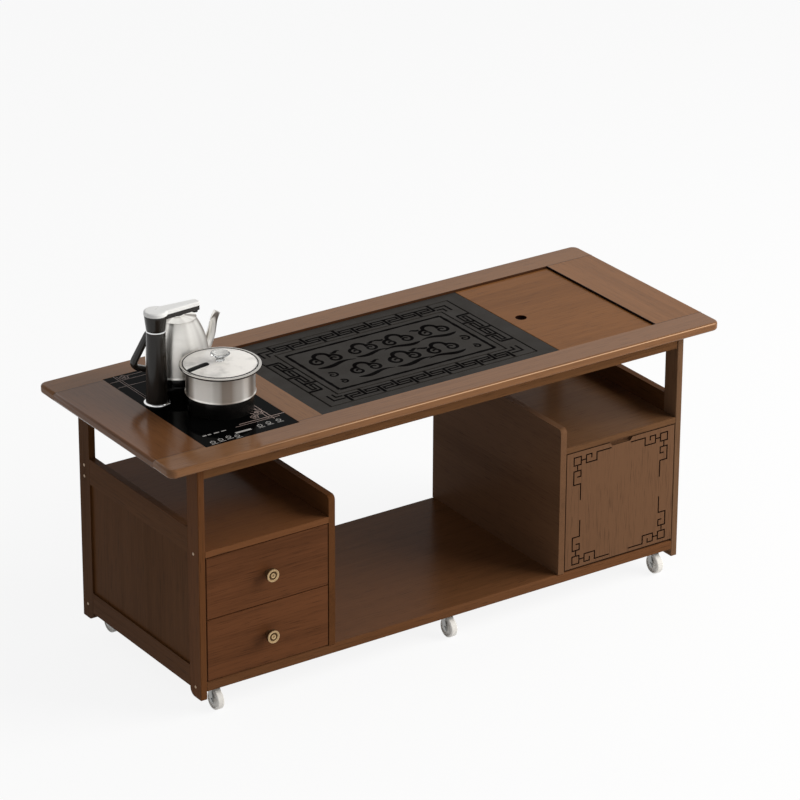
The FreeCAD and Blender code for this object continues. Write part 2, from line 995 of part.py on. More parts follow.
for name, low in (
    ("lower", deck_top + s.front_gap),
    ("upper", deck_top + 2 * s.front_gap + front_height),
):
    knob_place = ((left_bay_x[0] + left_bay_x[1]) / 2, -base_side, low + front_height / 2)
    drawer_front(f"{name}_drawer_front", low, knob_place)
    drawer_knob(f"{name}_drawer_knob", knob_place)
    drawer_box(f"{name}_drawer_box", low)
    for side, start in zip(("left", "right"), runner_faces):
        runners.append(
            box(
                f"runner_{name}_{side}",
                (start, start + s.runner_reach),
                (front_back + s.runner_setback, drawer_end),
                (low + s.runner_rise, low + s.runner_rise + s.runner_height),
            )
        )
piece(group("drawer_runners", runners))

# Flap door, with a finger scoop in its upper edge and a fret carved in each corner
door_x = (right_bay_x[0] + s.front_gap, right_bay_x[1] - s.front_gap)
door_top = s.shelf_under - s.front_gap
door_board = new_body("door_board")
pad(
    door_board,
    "YZ_Plane",
    (-base_side + s.door_foot_round, door_bottom),
    [
        (front_back, door_bottom),
        (front_back, door_top),
        (-base_side, door_top),
        (-base_side, door_bottom + s.door_foot_round),
        (-base_side + s.door_foot_round, door_bottom, s.door_foot_round, "left"),
    ],
    *door_x,
)
door_middle = (door_x[0] + door_x[1]) / 2
scoop = doc.addObject("Part::Wedge", "door_scoop")
bind(scoop, "Xmin", -s.scoop_width / 2)
bind(scoop, "Xmax", s.scoop_width / 2)
bind(scoop, "Ymin", 0)
bind(scoop, "Ymax", s.scoop_height + s.overrun)
bind(scoop, "Zmin", 0)
bind(scoop, "Zmax", s.scoop_depth + s.overrun)
bind(scoop, "X2min", -s.scoop_width / 2 + s.scoop_height)
bind(scoop, "X2max", s.scoop_width / 2 - s.scoop_height)
bind(scoop, "Z2min", 0)
bind(scoop, "Z2max", s.scoop_depth + s.overrun)
scoop.Placement.Rotation = FreeCAD.Rotation(FreeCAD.Vector(1, 0, 0), -90)
settle(scoop, door_middle, -base_side - s.overrun, door_top + s.overrun)
fret_cuts = []


def fret_line(start, end, corner_x, corner_z, side, rise):
    """One straight groove, between two places given in from a corner of the door."""
    half = s.fret_width / 2
    ends = []
    for (first, second), origin, sign in zip(zip(start, end), (corner_x, corner_z), (side, rise)):
        low, high = between(origin - sign * first, origin - sign * second)
        ends.append((low - half, high + half))
    fret_cuts.append(
        box(
            f"fret_{len(fret_cuts)}",
            ends[0],
            (-base_side - s.overrun, -base_side + s.fret_depth),
            ends[1],
        )
    )


def fret_run(spots, *corner):
    for start, end in zip(spots, spots[1:]):
        fret_line(start, end, *corner)


square_near = s.fret_width / 2
square_far = square_near + s.fret_square
link_far = square_far + s.fret_link
hook_far = link_far + s.fret_hook
tail_far = hook_far + s.fret_tail
middle_row = square_near + s.fret_square / 2
tick_row = square_near + s.fret_rise
tick_across = link_far + s.fret_tick
pillar_far = link_far + s.fret_pillar
for side, edge_x in ((-1, door_x[0]), (1, door_x[1])):
    for rise, edge_z in ((-1, door_bottom), (1, door_top)):
        corner_x = edge_x - side * s.fret_side_margin
        corner_z = edge_z - rise * s.fret_top_margin
        corner = (corner_x, corner_z, side, rise)
        fret_run(
            [
                (square_near, square_near),
                (square_far, square_near),
                (square_far, square_far),
                (square_near, square_far),
                (square_near, square_near),
            ],
            *corner,
        )
        fret_run([(square_far, middle_row), (link_far, middle_row)], *corner)
        fret_run(
            [
                (tick_across, tick_row),
                (tick_across, square_near),
                (link_far, square_near),
                (link_far, square_far),
                (hook_far, square_far),
                (hook_far, square_near),
                (tail_far, square_near),
            ],
            *corner,
        )
        fret_run([(middle_row, square_far), (middle_row, link_far)], *corner)
        fret_run(
            [
                (square_far - s.fret_rise, tick_across),
                (square_far, tick_across),
                (square_far, link_far),
                (square_near, link_far),
                (square_near, pillar_far),
                (square_far, pillar_far),
                (square_far, pillar_far + s.fret_tail),
            ],
            *corner,
        )
bore_length = s.pivot_reach + s.pivot_end_gap
pivot_bores = [
    rod(
        f"door_bore_{index}",
        s.pivot_radius + s.pivot_clearance,
        (start, pivot_y, pivot_z),
        bore_length + s.overrun,
        "x",
    )
    for index, start in enumerate((door_x[0] - s.overrun, door_x[1] - bore_length))
]
piece(cut("flap_door", door_board, [scoop] + fret_cuts + pivot_bores))

pin_length = s.pivot_hold + s.front_gap + s.pivot_reach
piece(
    group(
        "door_pivot_pins",
        [
            rod("pivot_pin_left", s.pivot_radius, (right_bay_x[0] - s.pivot_hold, pivot_y, pivot_z), pin_length, "x"),
            rod(
                "pivot_pin_right",
                s.pivot_radius,
                (right_bay_x[1] - s.front_gap - s.pivot_reach, pivot_y, pivot_z),
                pin_length,
                "x",
            ),
        ],
    )
)

# Castors: a plate with a kingpin on the deck, a swivelling fork and a wheel on its axle
castor_rows = (("front", -base_side + s.castor_side_inset), ("back", base_side - s.castor_side_inset))
castor_columns = (
    ("left", -base_half + s.castor_end_inset),
    ("middle", s.castor_middle),
    ("right", base_half - s.castor_end_inset),
)
plate_low = s.deck_under - s.castor_plate_thick
fork_high = plate_low - s.swivel_gap
fork_low = fork_high - s.fork_top_thick
leg_inner = s.wheel_width / 2 + s.fork_leg_gap
leg_outer = leg_inner + s.fork_leg_thick
half_plate = s.castor_plate / 2
half_wheel = s.wheel_width / 2
castor_plates = []


def castor_plate(label, x, y):
    plate = box(
        f"{label}_square",
        (x - half_plate, x + half_plate),
        (y - half_plate, y + half_plate),
        (plate_low, s.deck_under),
    )
    pin_low = fork_low - s.swivel_gap
    pin = rod(f"{label}_pin", s.kingpin_radius, (x, y, pin_low), plate_low - pin_low)
    head_low = pin_low - s.kingpin_head_thick
    head = rod(f"{label}_head", s.kingpin_head_radius, (x, y, head_low), s.kingpin_head_thick)
    castor_plates.append(fuse(label, [plate, pin, head]))


def castor_fork(label, x, y):
    """Two tapered legs under a round top, with the axle riveted through them."""
    legs = []
    axle_y = y - s.castor_trail
    for name, span in (("left", (-leg_outer, -leg_inner)), ("right", (leg_inner, leg_outer))):
        leg = new_body(f"{label}_{name}_leg")
        pad(
            leg,
            "YZ_Plane",
            (axle_y - s.fork_leg_radius, s.wheel_radius),
            [
                (axle_y, s.wheel_radius - s.fork_leg_radius, s.fork_leg_radius, "left"),
                (axle_y + s.fork_leg_radius, s.wheel_radius, s.fork_leg_radius, "left"),
                (y + s.fork_leg_radius, fork_high),
                (y - s.fork_leg_radius, fork_high),
                (axle_y - s.fork_leg_radius, s.wheel_radius),
            ],
            x + span[0],
            x + span[1],
        )
        legs.append(leg)
    crown = rod(f"{label}_crown", s.fork_top_radius, (x, y, fork_low), s.fork_top_thick)
    axle = rod(f"{label}_axle", s.axle_radius, (x - leg_outer, axle_y, s.wheel_radius), 2 * leg_outer, "x")
    heads = [
        rod(
            f"{label}_axle_head_{name}",
            s.axle_head_radius,
            (start, axle_y, s.wheel_radius),
            s.axle_head_thick,
            "x",
        )
        for name, start in (("left", x - leg_outer - s.axle_head_thick), ("right", x + leg_outer))
    ]
    solid = fuse(f"{label}_solid", legs + [crown, axle] + heads)
    hole = rod(
        f"{label}_hole",
        s.kingpin_radius + s.kingpin_clearance,
        (x, y, fork_low - s.overrun),
        s.fork_top_thick + 2 * s.overrun,
    )
    piece(cut(label, solid, [hole]))


def castor_wheel(label, x, y):
    """A wheel with rounded tread edges, dished on both sides round its hub."""
    bore = s.axle_radius + s.axle_clearance
    web = half_wheel - s.wheel_dish
    rim = s.wheel_radius - s.wheel_rim
    shoulder = s.wheel_radius - s.wheel_round
    hub = half_wheel + s.hub_proud
    piece(
        turned(
            label,
            (bore, -hub),
            [
                (s.wheel_hub_radius, -hub),
                (s.wheel_hub_radius, -web),
                (rim, -web),
                (rim, -half_wheel),
                (shoulder, -half_wheel),
                (s.wheel_radius, -half_wheel + s.wheel_round, s.wheel_round, "left"),
                (s.wheel_radius, half_wheel - s.wheel_round),
                (shoulder, half_wheel, s.wheel_round, "left"),
                (rim, half_wheel),
                (rim, web),
                (s.wheel_hub_radius, web),
                (s.wheel_hub_radius, hub),
                (bore, hub),
                (bore, -hub),
            ],
            (x, y - s.castor_trail, s.wheel_radius),
            "x",
        )
    )


for row_name, y in castor_rows:
    for column_name, x in castor_columns:
        place = f"{row_name}_{column_name}"
        castor_plate(f"castor_plate_{place}", x, y)
        castor_fork(f"castor_fork_{place}", x, y)
        castor_wheel(f"castor_wheel_{place}", x, y)
piece(group("castor_plates", castor_plates))

# Pump column: a tapered tube in a chrome foot ring, with a swivelling head on top
pump = (glass_left + s.pump_from_left, s.pump_from_middle, s.table_height)
ring_outer = s.column_neck_radius + s.ring_proud
collar_low = s.column_height + s.ring_height + s.swivel_gap
piece(
    turned(
        "pump_column",
        (0, 0),
        [
            (s.column_foot_radius, 0),
            (s.column_neck_radius, s.column_height),
            (s.spigot_radius, s.column_height),
            (s.spigot_radius, collar_low + s.spigot_height - s.swivel_gap),
            (0, collar_low + s.spigot_height - s.swivel_gap),
            (0, 0),
        ],
        pump,
    )
)
foot_taper = (s.column_foot_radius - s.column_neck_radius) * (s.foot_ring_height / s.column_height)
foot_ring = turned(
    "foot_ring",
    (s.column_foot_radius, 0),
    [
        (s.foot_ring_radius, 0),
        (s.foot_ring_radius, s.foot_ring_height / 2),
        (s.column_foot_radius + s.ring_proud, s.foot_ring_height),
        (s.column_foot_radius - foot_taper, s.foot_ring_height),
        (s.column_foot_radius, 0),
    ],
    pump,
)
collar_ring = turned(
    "collar_ring",
    (s.spigot_radius, s.column_height),
    [
        (s.column_neck_radius, s.column_height),
        (ring_outer, s.column_height + s.ring_height / 2),
        (s.column_neck_radius, s.column_height + s.ring_height),
        (s.spigot_radius, s.column_height + s.ring_height),
        (s.spigot_radius, s.column_height),
    ],
    pump,
)
piece(group("pump_rings", [foot_ring, collar_ring]))

head_high = collar_low + s.head_height
socket = s.spigot_radius + s.spigot_clearance
collar = turned(
    "pump_collar",
    (0, collar_low),
    [
        (s.column_neck_radius, collar_low),
        (s.head_radius, head_high),
        (0, head_high),
        (0, collar_low),
    ],
    pump,
)


def arm_outline(label, extra, low, high, rounding):
    """The arm's bar: it narrows from the head towards a rounded tip."""
    body = new_body(label)
    tip = s.arm_reach + extra
    root_half = s.arm_root_half + extra
    tip_half = s.arm_tip_half + extra
    solid = pad(
        body,
        "XY_Plane",
        (0, -root_half),
        [
            (tip - s.arm_round, -tip_half),
            (tip, -tip_half + s.arm_round, s.arm_round, "left"),
            (tip, tip_half - s.arm_round),
            (tip - s.arm_round, tip_half, s.arm_round, "left"),
            (0, root_half),
            (0, -root_half),
        ],
        low,
        high,
    )
    if rounding:
        soften(body, solid, rounding, lambda spot, edge: near(spot.z, high) and not near(spot.x, 0))
    settle(body, *pump)
    return body


arm_bar = arm_outline("pump_arm_bar", 0, head_high - s.arm_thick, head_high, None)
outlet_x = pump[0] + s.arm_reach - s.outlet_from_tip
outlet_z = pump[2] + head_high - s.arm_thick - s.outlet_drop
outlet = rod("pump_outlet", s.outlet_radius, (outlet_x, pump[1], outlet_z), s.outlet_drop + s.arm_thick / 2)
head_solid = fuse("pump_head_solid", [collar, arm_bar, outlet])
outlet_bore = rod(
    "outlet_bore",
    s.outlet_bore,
    (outlet_x, pump[1], outlet_z - s.overrun),
    s.outlet_drop + s.overrun + s.arm_thick / 2,
)
head_socket = rod(
    "head_socket",
    socket,
    (pump[0], pump[1], pump[2] + collar_low - s.overrun),
    s.spigot_height + s.overrun + s.swivel_gap,
)
piece(cut("pump_arm", head_solid, [outlet_bore, head_socket]))

cap_bar = arm_outline("cap_bar", s.cap_overhang, head_high, head_high + s.cap_thick, s.cap_round)
cap_radius = s.head_radius + s.cap_overhang
cap_disc = turned(
    "cap_disc",
    (0, head_high),
    [
        (cap_radius, head_high),
        (cap_radius, head_high + s.cap_thick - s.cap_round),
        (cap_radius - s.cap_round, head_high + s.cap_thick, s.cap_round, "left"),
        (0, head_high + s.cap_thick),
        (0, head_high),
    ],
    pump,
)
piece(fuse("pump_cap", [cap_bar, cap_disc]))

# Kettle: heater seat with a contact post, foot, steel body with spout, handle and lid
kettle_x = glass_left + s.kettle_from_left
kettle_y = s.kettle_from_middle
kettle = (kettle_x, kettle_y, s.table_height)
piece(
    turned(
        "kettle_seat",
        (0, 0),
        [
            (s.seat_radius, 0),
            (s.seat_radius, s.seat_height - s.seat_round),
            (s.seat_radius - s.seat_round, s.seat_height, s.seat_round, "left"),
            (s.seat_radius - s.seat_rim, s.seat_height),
            (s.seat_radius - s.seat_rim, s.seat_height - s.seat_dish),
            (s.post_radius, s.seat_height - s.seat_dish),
            (s.post_radius, s.seat_height + s.post_height),
            (0, s.seat_height + s.post_height),
            (0, 0),
        ],
        kettle,
    )
)
foot_low = s.seat_height + s.lift_gap
foot_high = foot_low + s.kettle_foot_height
piece(
    turned(
        "kettle_foot",
        (s.socket_radius, foot_low),
        [
            (s.kettle_foot_radius - s.seat_round, foot_low),
            (s.kettle_foot_radius, foot_low + s.seat_round, s.seat_round, "left"),
            (s.kettle_foot_radius, foot_high),
            (s.socket_radius, foot_high),
            (s.socket_radius, foot_low),
        ],
        kettle,
    )
)
belly_high = foot_high + s.belly_rise
mouth_high = belly_high + s.shoulder_rise
lip_high = mouth_high + s.lip_height
draw_in = s.belly_radius - s.mouth_radius
shoulder_radius = (draw_in * draw_in + s.shoulder_rise * s.shoulder_rise) / (2 * draw_in)


def kettle_form(label, shrink, floor, top):
    """The kettle's turned form, drawn in by the wall for its inside."""
    return turned(
        label,
        (0, floor),
        [
            (s.kettle_foot_radius - shrink, floor),
            (s.belly_radius - shrink, belly_high),
            (s.mouth_radius - shrink, mouth_high, shoulder_radius, "left"),
            (s.mouth_radius - shrink, top),
            (0, top),
            (0, floor),
        ],
        kettle,
    )


def spout_form(label, shrink, stretch):
    """A tapering tube through four rings that lean from the body up to the tip."""
    rings = []
    for index, (out, rise, radius, lean) in enumerate(
        (
            (s.spout_root_out, s.spout_root_rise, s.spout_root_radius, 52),
            (s.spout_low_out, s.spout_low_rise, s.spout_low_radius, 40),
            (s.spout_mid_out, s.spout_mid_rise, s.spout_mid_radius, 16),
            (s.spout_tip_out, s.spout_tip_rise + stretch, s.spout_tip_radius, 24),
        )
    ):
        ring = doc.addObject("Part::Circle", f"{label}_ring_{index}")
        bind(ring, "Radius", radius - shrink)
        ring.Placement.Rotation = FreeCAD.Rotation(FreeCAD.Vector(0, 1, 0), lean)
        settle(ring, kettle_x + out, kettle_y, s.table_height + foot_high + rise)
        rings.append(ring)
    loft = doc.addObject("Part::Loft", label)
    loft.Sections = rings
    loft.Solid = True
    return loft


kettle_outer = kettle_form("kettle_outer", 0, foot_high, lip_high)
kettle_inner = kettle_form("kettle_inner", s.steel_wall, foot_high + s.steel_wall, lip_high + s.overrun)
spout_outer = spout_form("spout_outer", 0, 0)
spout_inner = spout_form("spout_inner", s.spout_wall, s.overrun)
piece(
    cut(
        "kettle_body",
        fuse("kettle_skin", [kettle_outer, spout_outer]),
        [kettle_inner, spout_inner],
    )
)

# The handle is one bent grip of oval section, seated on the body's wall
grip = new_body("grip_bar")
grip_high = foot_high + s.grip_top_rise
grip_low = foot_high + s.grip_low_rise
grip_base = foot_high + s.grip_base_rise


def bend(before, spot, after, radius):
    """Where an arc of a radius leaves its two runs, as shares of those runs."""
    first = FreeCAD.Vector(*(measure(v).number for v in spot)) - FreeCAD.Vector(*(measure(v).number for v in before))
    second = FreeCAD.Vector(*(measure(v).number for v in after)) - FreeCAD.Vector(*(measure(v).number for v in spot))
    reach = radius.number * math.tan(first.getAngle(second) / 2)
    enter_share = reach / first.Length
    leave_share = reach / second.Length
    return [
        tuple(v - (v - u) * enter_share for u, v in zip(before, spot)),
        tuple(v + (w - v) * leave_share for v, w in zip(spot, after)),
    ]


grip_spots = [
    (-s.grip_root_out, grip_high, measure(0)),
    (-s.grip_top_out, grip_high, measure(0)),
    (-s.grip_low_out, grip_low, measure(0)),
    (-s.grip_base_out, grip_base, measure(0)),
]
upper_in, upper_out = bend(*grip_spots[:3], s.grip_bend)
lower_in, lower_out = bend(*grip_spots[1:], s.grip_corner)
grip_path = sketch(
    grip,
    "XZ_Plane",
    grip_spots[0][:2],
    [
        upper_in[:2],
        (*upper_out[:2], s.grip_bend, "left"),
        lower_in[:2],
        (*lower_out[:2], s.grip_corner, "left"),
        grip_spots[3][:2],
    ],
    closed=False,
)
half_grip = s.grip_width / 2
half_deep = s.grip_thick / 2
grip_section = sketch(
    grip,
    "YZ_Plane",
    (-half_grip + half_deep, grip_high - half_deep),
    [
        (half_grip - half_deep, grip_high - half_deep),
        (half_grip, grip_high, half_deep, "left"),
        (half_grip - half_deep, grip_high + half_deep, half_deep, "left"),
        (-half_grip + half_deep, grip_high + half_deep),
        (-half_grip, grip_high, half_deep, "left"),
        (-half_grip + half_deep, grip_high - half_deep, half_deep, "left"),
    ],
    -s.grip_root_out,
)
grip_sweep = grip.newObject("PartDesign::AdditivePipe", "grip_sweep")
grip_sweep.Profile = grip_section
grip_sweep.Spine = (grip_path, [])
settle(grip, *kettle)
piece(cut("kettle_handle", grip, [kettle_outer]))

skirt = s.mouth_radius - s.steel_wall - s.lid_clearance
lid_low = lip_high + s.lift_gap
lid_edge_high = lid_low + s.lid_edge
lid_high = lid_edge_high + s.lid_dome
piece(
    turned(
        "kettle_lid",
        (skirt - s.steel_wall, lid_low - s.lid_skirt),
        [
            (skirt, lid_low - s.lid_skirt),
            (skirt, lid_low),
            (s.mouth_radius + s.lid_overlap, lid_low),
            (s.mouth_radius + s.lid_overlap, lid_edge_high),
            (s.lid_collar_radius, lid_high),
            (s.lid_collar_radius, lid_high + s.lid_collar_height),
            (s.fill_hole_radius, lid_high + s.lid_collar_height),
            (s.fill_hole_radius, lid_high - s.lid_edge),
            (skirt - s.steel_wall, lid_edge_high - s.lid_edge),
            (skirt - s.steel_wall, lid_low - s.lid_skirt),
        ],
        kettle,
    )
)

# Steriliser pot: heater drum, steel pot with a flared lip, and a domed glass lid in a ring
pot = (glass_left + s.pot_from_left, -s.pot_from_middle, s.table_height)
piece(
    turned(
        "pot_seat",
        (0, 0),
        [
            (s.hob_radius, 0),
            (s.hob_radius, s.hob_height - s.seat_round),
            (s.hob_radius - s.seat_round, s.hob_height, s.seat_round, "left"),
            (s.hob_radius - s.seat_rim, s.hob_height),
            (s.hob_radius - s.seat_rim, s.hob_height - s.seat_dish),
            (0, s.hob_height - s.seat_dish),
            (0, 0),
        ],
        pot,
    )
)
pot_low = s.hob_height + s.lift_gap
pot_high = pot_low + s.pot_height
pot_inner = s.pot_radius - s.steel_wall
inner_corner = s.pot_corner - s.steel_wall
piece(
    turned(
        "pot_body",
        (0, pot_low),
        [
            (s.pot_radius - s.pot_corner, pot_low),
            (s.pot_radius, pot_low + s.pot_corner, s.pot_corner, "left"),
            (s.pot_radius, pot_high - s.lip_thick),
            (s.lip_radius, pot_high - s.lip_thick),
            (s.lip_radius, pot_high),
            (pot_inner, pot_high),
            (pot_inner, pot_low + s.pot_corner),
            (pot_inner - inner_corner, pot_low + s.steel_wall, inner_corner, "right"),
            (0, pot_low + s.steel_wall),
            (0, pot_low),
        ],
        pot,
    )
)
ring_low = pot_high + s.lift_gap
ring_high = ring_low + s.lid_ring_height
ring_inner = s.lid_ring_radius - s.lid_ring_width
pane_low = ring_low + (s.lid_ring_height - s.lid_glass_thick) / 2
pane_high = pane_low + s.lid_glass_thick
pane_radius = ring_inner + s.lid_glass_inset
piece(
    turned(
        "pot_lid_ring",
        (ring_inner, ring_low),
        [
            (s.lid_ring_radius - s.lid_ring_round, ring_low),
            (s.lid_ring_radius, ring_low + s.lid_ring_round, s.lid_ring_round, "left"),
            (s.lid_ring_radius, ring_high - s.lid_ring_round),
            (s.lid_ring_radius - s.lid_ring_round, ring_high, s.lid_ring_round, "left"),
            (ring_inner, ring_high),
            (ring_inner, pane_high),
            (pane_radius, pane_high),
            (pane_radius, pane_low),
            (ring_inner, pane_low),
            (ring_inner, ring_low),
        ],
        pot,
    )
)
dome_radius = (ring_inner * ring_inner + s.lid_glass_dome * s.lid_glass_dome) / (2 * s.lid_glass_dome)
piece(
    turned(
        "pot_lid_glass",
        (0, pane_low + s.lid_glass_dome),
        [
            (ring_inner, pane_low, dome_radius, "right"),
            (pane_radius, pane_low),
            (pane_radius, pane_high),
            (ring_inner, pane_high),
            (0, pane_high + s.lid_glass_dome, dome_radius, "left"),
            (0, pane_low + s.lid_glass_dome),
        ],
        pot,
    )
)
knob_low = pane_high + s.lid_glass_dome
knob_high = knob_low + s.pot_knob_height
piece(
    turned(
        "pot_lid_knob",
        (0, knob_low),
        [
            (s.pot_knob_foot, knob_low),
            (s.pot_knob_foot, knob_low + s.pot_knob_foot_thick),
            (s.pot_knob_neck, knob_low + 2 * s.pot_knob_foot_thick),
            (s.pot_knob_radius, knob_high - s.pot_knob_edge),
            (s.pot_knob_radius, knob_high),
            (s.pot_knob_radius - s.pot_knob_edge, knob_high),
            (s.pot_knob_neck, knob_high - s.pot_knob_dish),
            (0, knob_high - s.pot_knob_dish),
            (0, knob_low),
        ],
        pot,
    )
)

# Check every object, then write one file for each sub-part
doc.recompute()
for item in doc.Objects:
    if "Invalid" in item.State or "Error" in item.State:
        raise RuntimeError(f"{item.Label} failed: {item.State}")
for item in pieces:
    shape = item.Shape
    if shape.isNull() or not shape.isValid() or not shape.Solids:
        raise RuntimeError(f"{item.Label} has no valid solid")
os.makedirs("parts", exist_ok=True)
for item in pieces:
    item.Shape.exportStep(os.path.join("parts", f"{item.Label}.step"))
print(len(pieces), "sub-parts,", sum(len(item.Shape.Solids) for item in pieces), "solids")
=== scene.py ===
import bpy
import bmesh
import math
from mathutils import Matrix, Vector


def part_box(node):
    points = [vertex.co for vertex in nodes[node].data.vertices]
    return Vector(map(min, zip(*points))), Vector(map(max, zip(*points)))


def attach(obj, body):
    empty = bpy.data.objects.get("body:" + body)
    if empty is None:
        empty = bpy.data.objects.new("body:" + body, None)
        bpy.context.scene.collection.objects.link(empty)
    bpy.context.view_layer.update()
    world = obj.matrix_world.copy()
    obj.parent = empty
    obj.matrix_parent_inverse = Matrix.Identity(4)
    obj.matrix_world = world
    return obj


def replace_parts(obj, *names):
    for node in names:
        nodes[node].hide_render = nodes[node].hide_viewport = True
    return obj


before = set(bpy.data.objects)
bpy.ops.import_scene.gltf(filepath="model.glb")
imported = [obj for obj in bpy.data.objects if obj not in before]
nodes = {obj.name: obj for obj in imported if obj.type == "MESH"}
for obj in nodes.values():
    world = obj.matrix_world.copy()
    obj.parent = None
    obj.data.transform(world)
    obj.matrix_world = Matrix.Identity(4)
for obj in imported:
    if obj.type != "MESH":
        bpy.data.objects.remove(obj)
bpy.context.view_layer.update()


# Studio: a pale floor under a white sky, and two broad lamps high on the right of the host's side, of
# which metal mirrors only the weaker. The camera stands off the left front corner, with a long lens
# that keeps the table's lines nearly parallel.
def shade(tree, kind, settings=None, **inputs):
    """Adds a shader node. An input is a value, or the socket that feeds it; _0 is the first input."""
    item = tree.nodes.new(kind)
    for key, value in (settings or {}).items():
        setattr(item, key, value)
    for key, value in inputs.items():
        socket = item.inputs[int(key[1:]) if key[0] == "_" else key.replace("_", " ")]
        if isinstance(value, bpy.types.NodeSocket):
            tree.links.new(value, socket)
        else:
            socket.default_value = value
    return item


def reckon(tree, operation, *values):
    """Adds a math node and returns its result. A value is a number, or the socket that feeds it."""
    inputs = {f"_{index}": value for index, value in enumerate(values)}
    return shade(tree, "ShaderNodeMath", {"operation": operation}, **inputs).outputs[0]


def blank_tree(owner):
    """Turns on a material's or a world's nodes, and clears them."""
    owner.use_nodes = True
    owner.node_tree.nodes.clear()
    return owner.node_tree


def backdrop_rays(tree):
    """One for what the camera sees, straight or through a mirror or glass."""
    rays = shade(tree, "ShaderNodeLightPath").outputs
    seen = reckon(tree, "MAXIMUM", rays["Is Camera Ray"], rays["Is Glossy Ray"])
    return reckon(tree, "MAXIMUM", seen, rays["Is Transmission Ray"])


scene = bpy.context.scene
scene.view_settings.view_transform = "Standard"
eye = Vector((-4.0875, -6.0293, 3.668))
heading, dip, roll = (math.radians(angle) for angle in (34.36, 23.97, 0.27))
ahead = Vector((math.sin(heading) * math.cos(dip), math.cos(heading) * math.cos(dip), -math.sin(dip)))
aim = ahead.to_track_quat("-Z", "Y").to_matrix() @ Matrix.Rotation(roll, 3, "Z")
camera = bpy.data.objects.new("camera", bpy.data.cameras.new("camera"))
camera.data.sensor_width = 36
camera.data.lens = 186.17
camera.data.clip_end = 100
camera.matrix_world = Matrix.Translation(eye) @ aim.to_4x4()
scene.collection.objects.link(camera)
scene.camera = camera

sky = bpy.data.worlds.new("studio_sky")
scene.world = sky
sky_tree = blank_tree(sky)
soft_fill = shade(sky_tree, "ShaderNodeBackground", Color=(0.97, 0.98, 1, 1), Strength=0.42).outputs[0]
white_sky = shade(sky_tree, "ShaderNodeBackground", Color=(1, 1, 1, 1), Strength=1).outputs[0]
sky_mix = shade(sky_tree, "ShaderNodeMixShader", _0=backdrop_rays(sky_tree), _1=soft_fill, _2=white_sky)
shade(sky_tree, "ShaderNodeOutputWorld", Surface=sky_mix.outputs[0])

lamp_place = Vector((3.24, -2.34, 2.37))
lamp_aim = Vector((0, 0, 0.3))
for name, energy, mirrored in (("soft_lamp", 212, False), ("sheen_lamp", 38, True)):
    lamp = bpy.data.objects.new(name, bpy.data.lights.new(name, "AREA"))
    lamp.data.size = 3.2
    lamp.data.energy = energy
    lamp.data.color = (1, 0.985, 0.955)
    lamp.location = lamp_place
    lamp.rotation_euler = (lamp_place - lamp_aim).to_track_quat("Z", "Y").to_euler()
    lamp.visible_glossy = mirrored
    scene.collection.objects.link(lamp)

floor_reach = 30
floor_corners = [(x * floor_reach, y * floor_reach, 0) for x, y in ((-1, -1), (1, -1), (1, 1), (-1, 1))]
floor_mesh = bpy.data.meshes.new("studio_floor")
floor_mesh.from_pydata(floor_corners, [], [(0, 1, 2, 3)])
studio_floor = bpy.data.objects.new("studio_floor", floor_mesh)
scene.collection.objects.link(studio_floor)
floor_finish = bpy.data.materials.new("pale_floor")
floor_tree = blank_tree(floor_finish)
matt_grey = {"Base_Color": (0.86, 0.86, 0.86, 1), "Roughness": 0.9, "Specular_IOR_Level": 0.1}
floor_paint = shade(floor_tree, "ShaderNodeBsdfPrincipled", **matt_grey).outputs[0]
floor_glow = shade(floor_tree, "ShaderNodeEmission", Color=(1, 1, 1, 1), Strength=1).outputs[0]
glow_share = reckon(floor_tree, "MULTIPLY", backdrop_rays(floor_tree), 0.88)
floor_mix = shade(floor_tree, "ShaderNodeMixShader", _0=glow_share, _1=floor_paint, _2=floor_glow)
shade(floor_tree, "ShaderNodeOutputMaterial", Surface=floor_mix.outputs[0])
floor_mesh.materials.append(floor_finish)


# Table top: two long rails with rounded outer corners, a board across each end, a strip beside the
# stove and a lift-out board, all of brown lacquered hardwood, with the grain along each board. The
# lacquer is clear and even, so that the kettle and the pot mirror faintly in it.
mm = 0.001


def paint(red, green, blue):
    """A colour as it shows on the screen, from 0 to 255, for a shader."""
    shares = [v / 255 for v in (red, green, blue)]
    return tuple(((v + 0.055) / 1.055) ** 2.4 if v > 0.04045 else v / 12.92 for v in shares) + (1,)


def tint(tree, factor, first, second):
    """Mixes two colours. Each is a colour, or the socket that feeds it."""
    mix = shade(tree, "ShaderNodeMix", {"data_type": "RGBA"}, Factor=factor)
    for socket, colour in ((mix.inputs[6], first), (mix.inputs[7], second)):
        if isinstance(colour, bpy.types.NodeSocket):
            tree.links.new(colour, socket)
        else:
            socket.default_value = colour
    return mix.outputs[2]


def ramp(tree, value, start, end, first=0, last=1):
    """Runs from a first value to a last one, as another value goes from its start to its end."""
    span = {"From_Min": start, "From_Max": end, "To_Min": first, "To_Max": last}
    return shade(tree, "ShaderNodeMapRange", Value=value, **span).outputs[0]


def reckon_vector(tree, operation, *values):
    """Adds a vector math node and returns its result."""
    inputs = {f"_{index}": value for index, value in enumerate(values)}
    item = shade(tree, "ShaderNodeVectorMath", {"operation": operation}, **inputs)
    return item.outputs["Value" if operation == "LENGTH" else "Vector"]


def new_group(name, inputs, outputs):
    """An empty shader group with named sockets, and its first and last nodes."""
    group = bpy.data.node_groups.new(name, "ShaderNodeTree")
    for side, sockets in (("INPUT", inputs), ("OUTPUT", outputs)):
        for label, kind in sockets:
            group.interface.new_socket(label, in_out=side, socket_type=f"NodeSocket{kind}")
    return group, shade(group, "NodeGroupInput"), shade(group, "NodeGroupOutput")


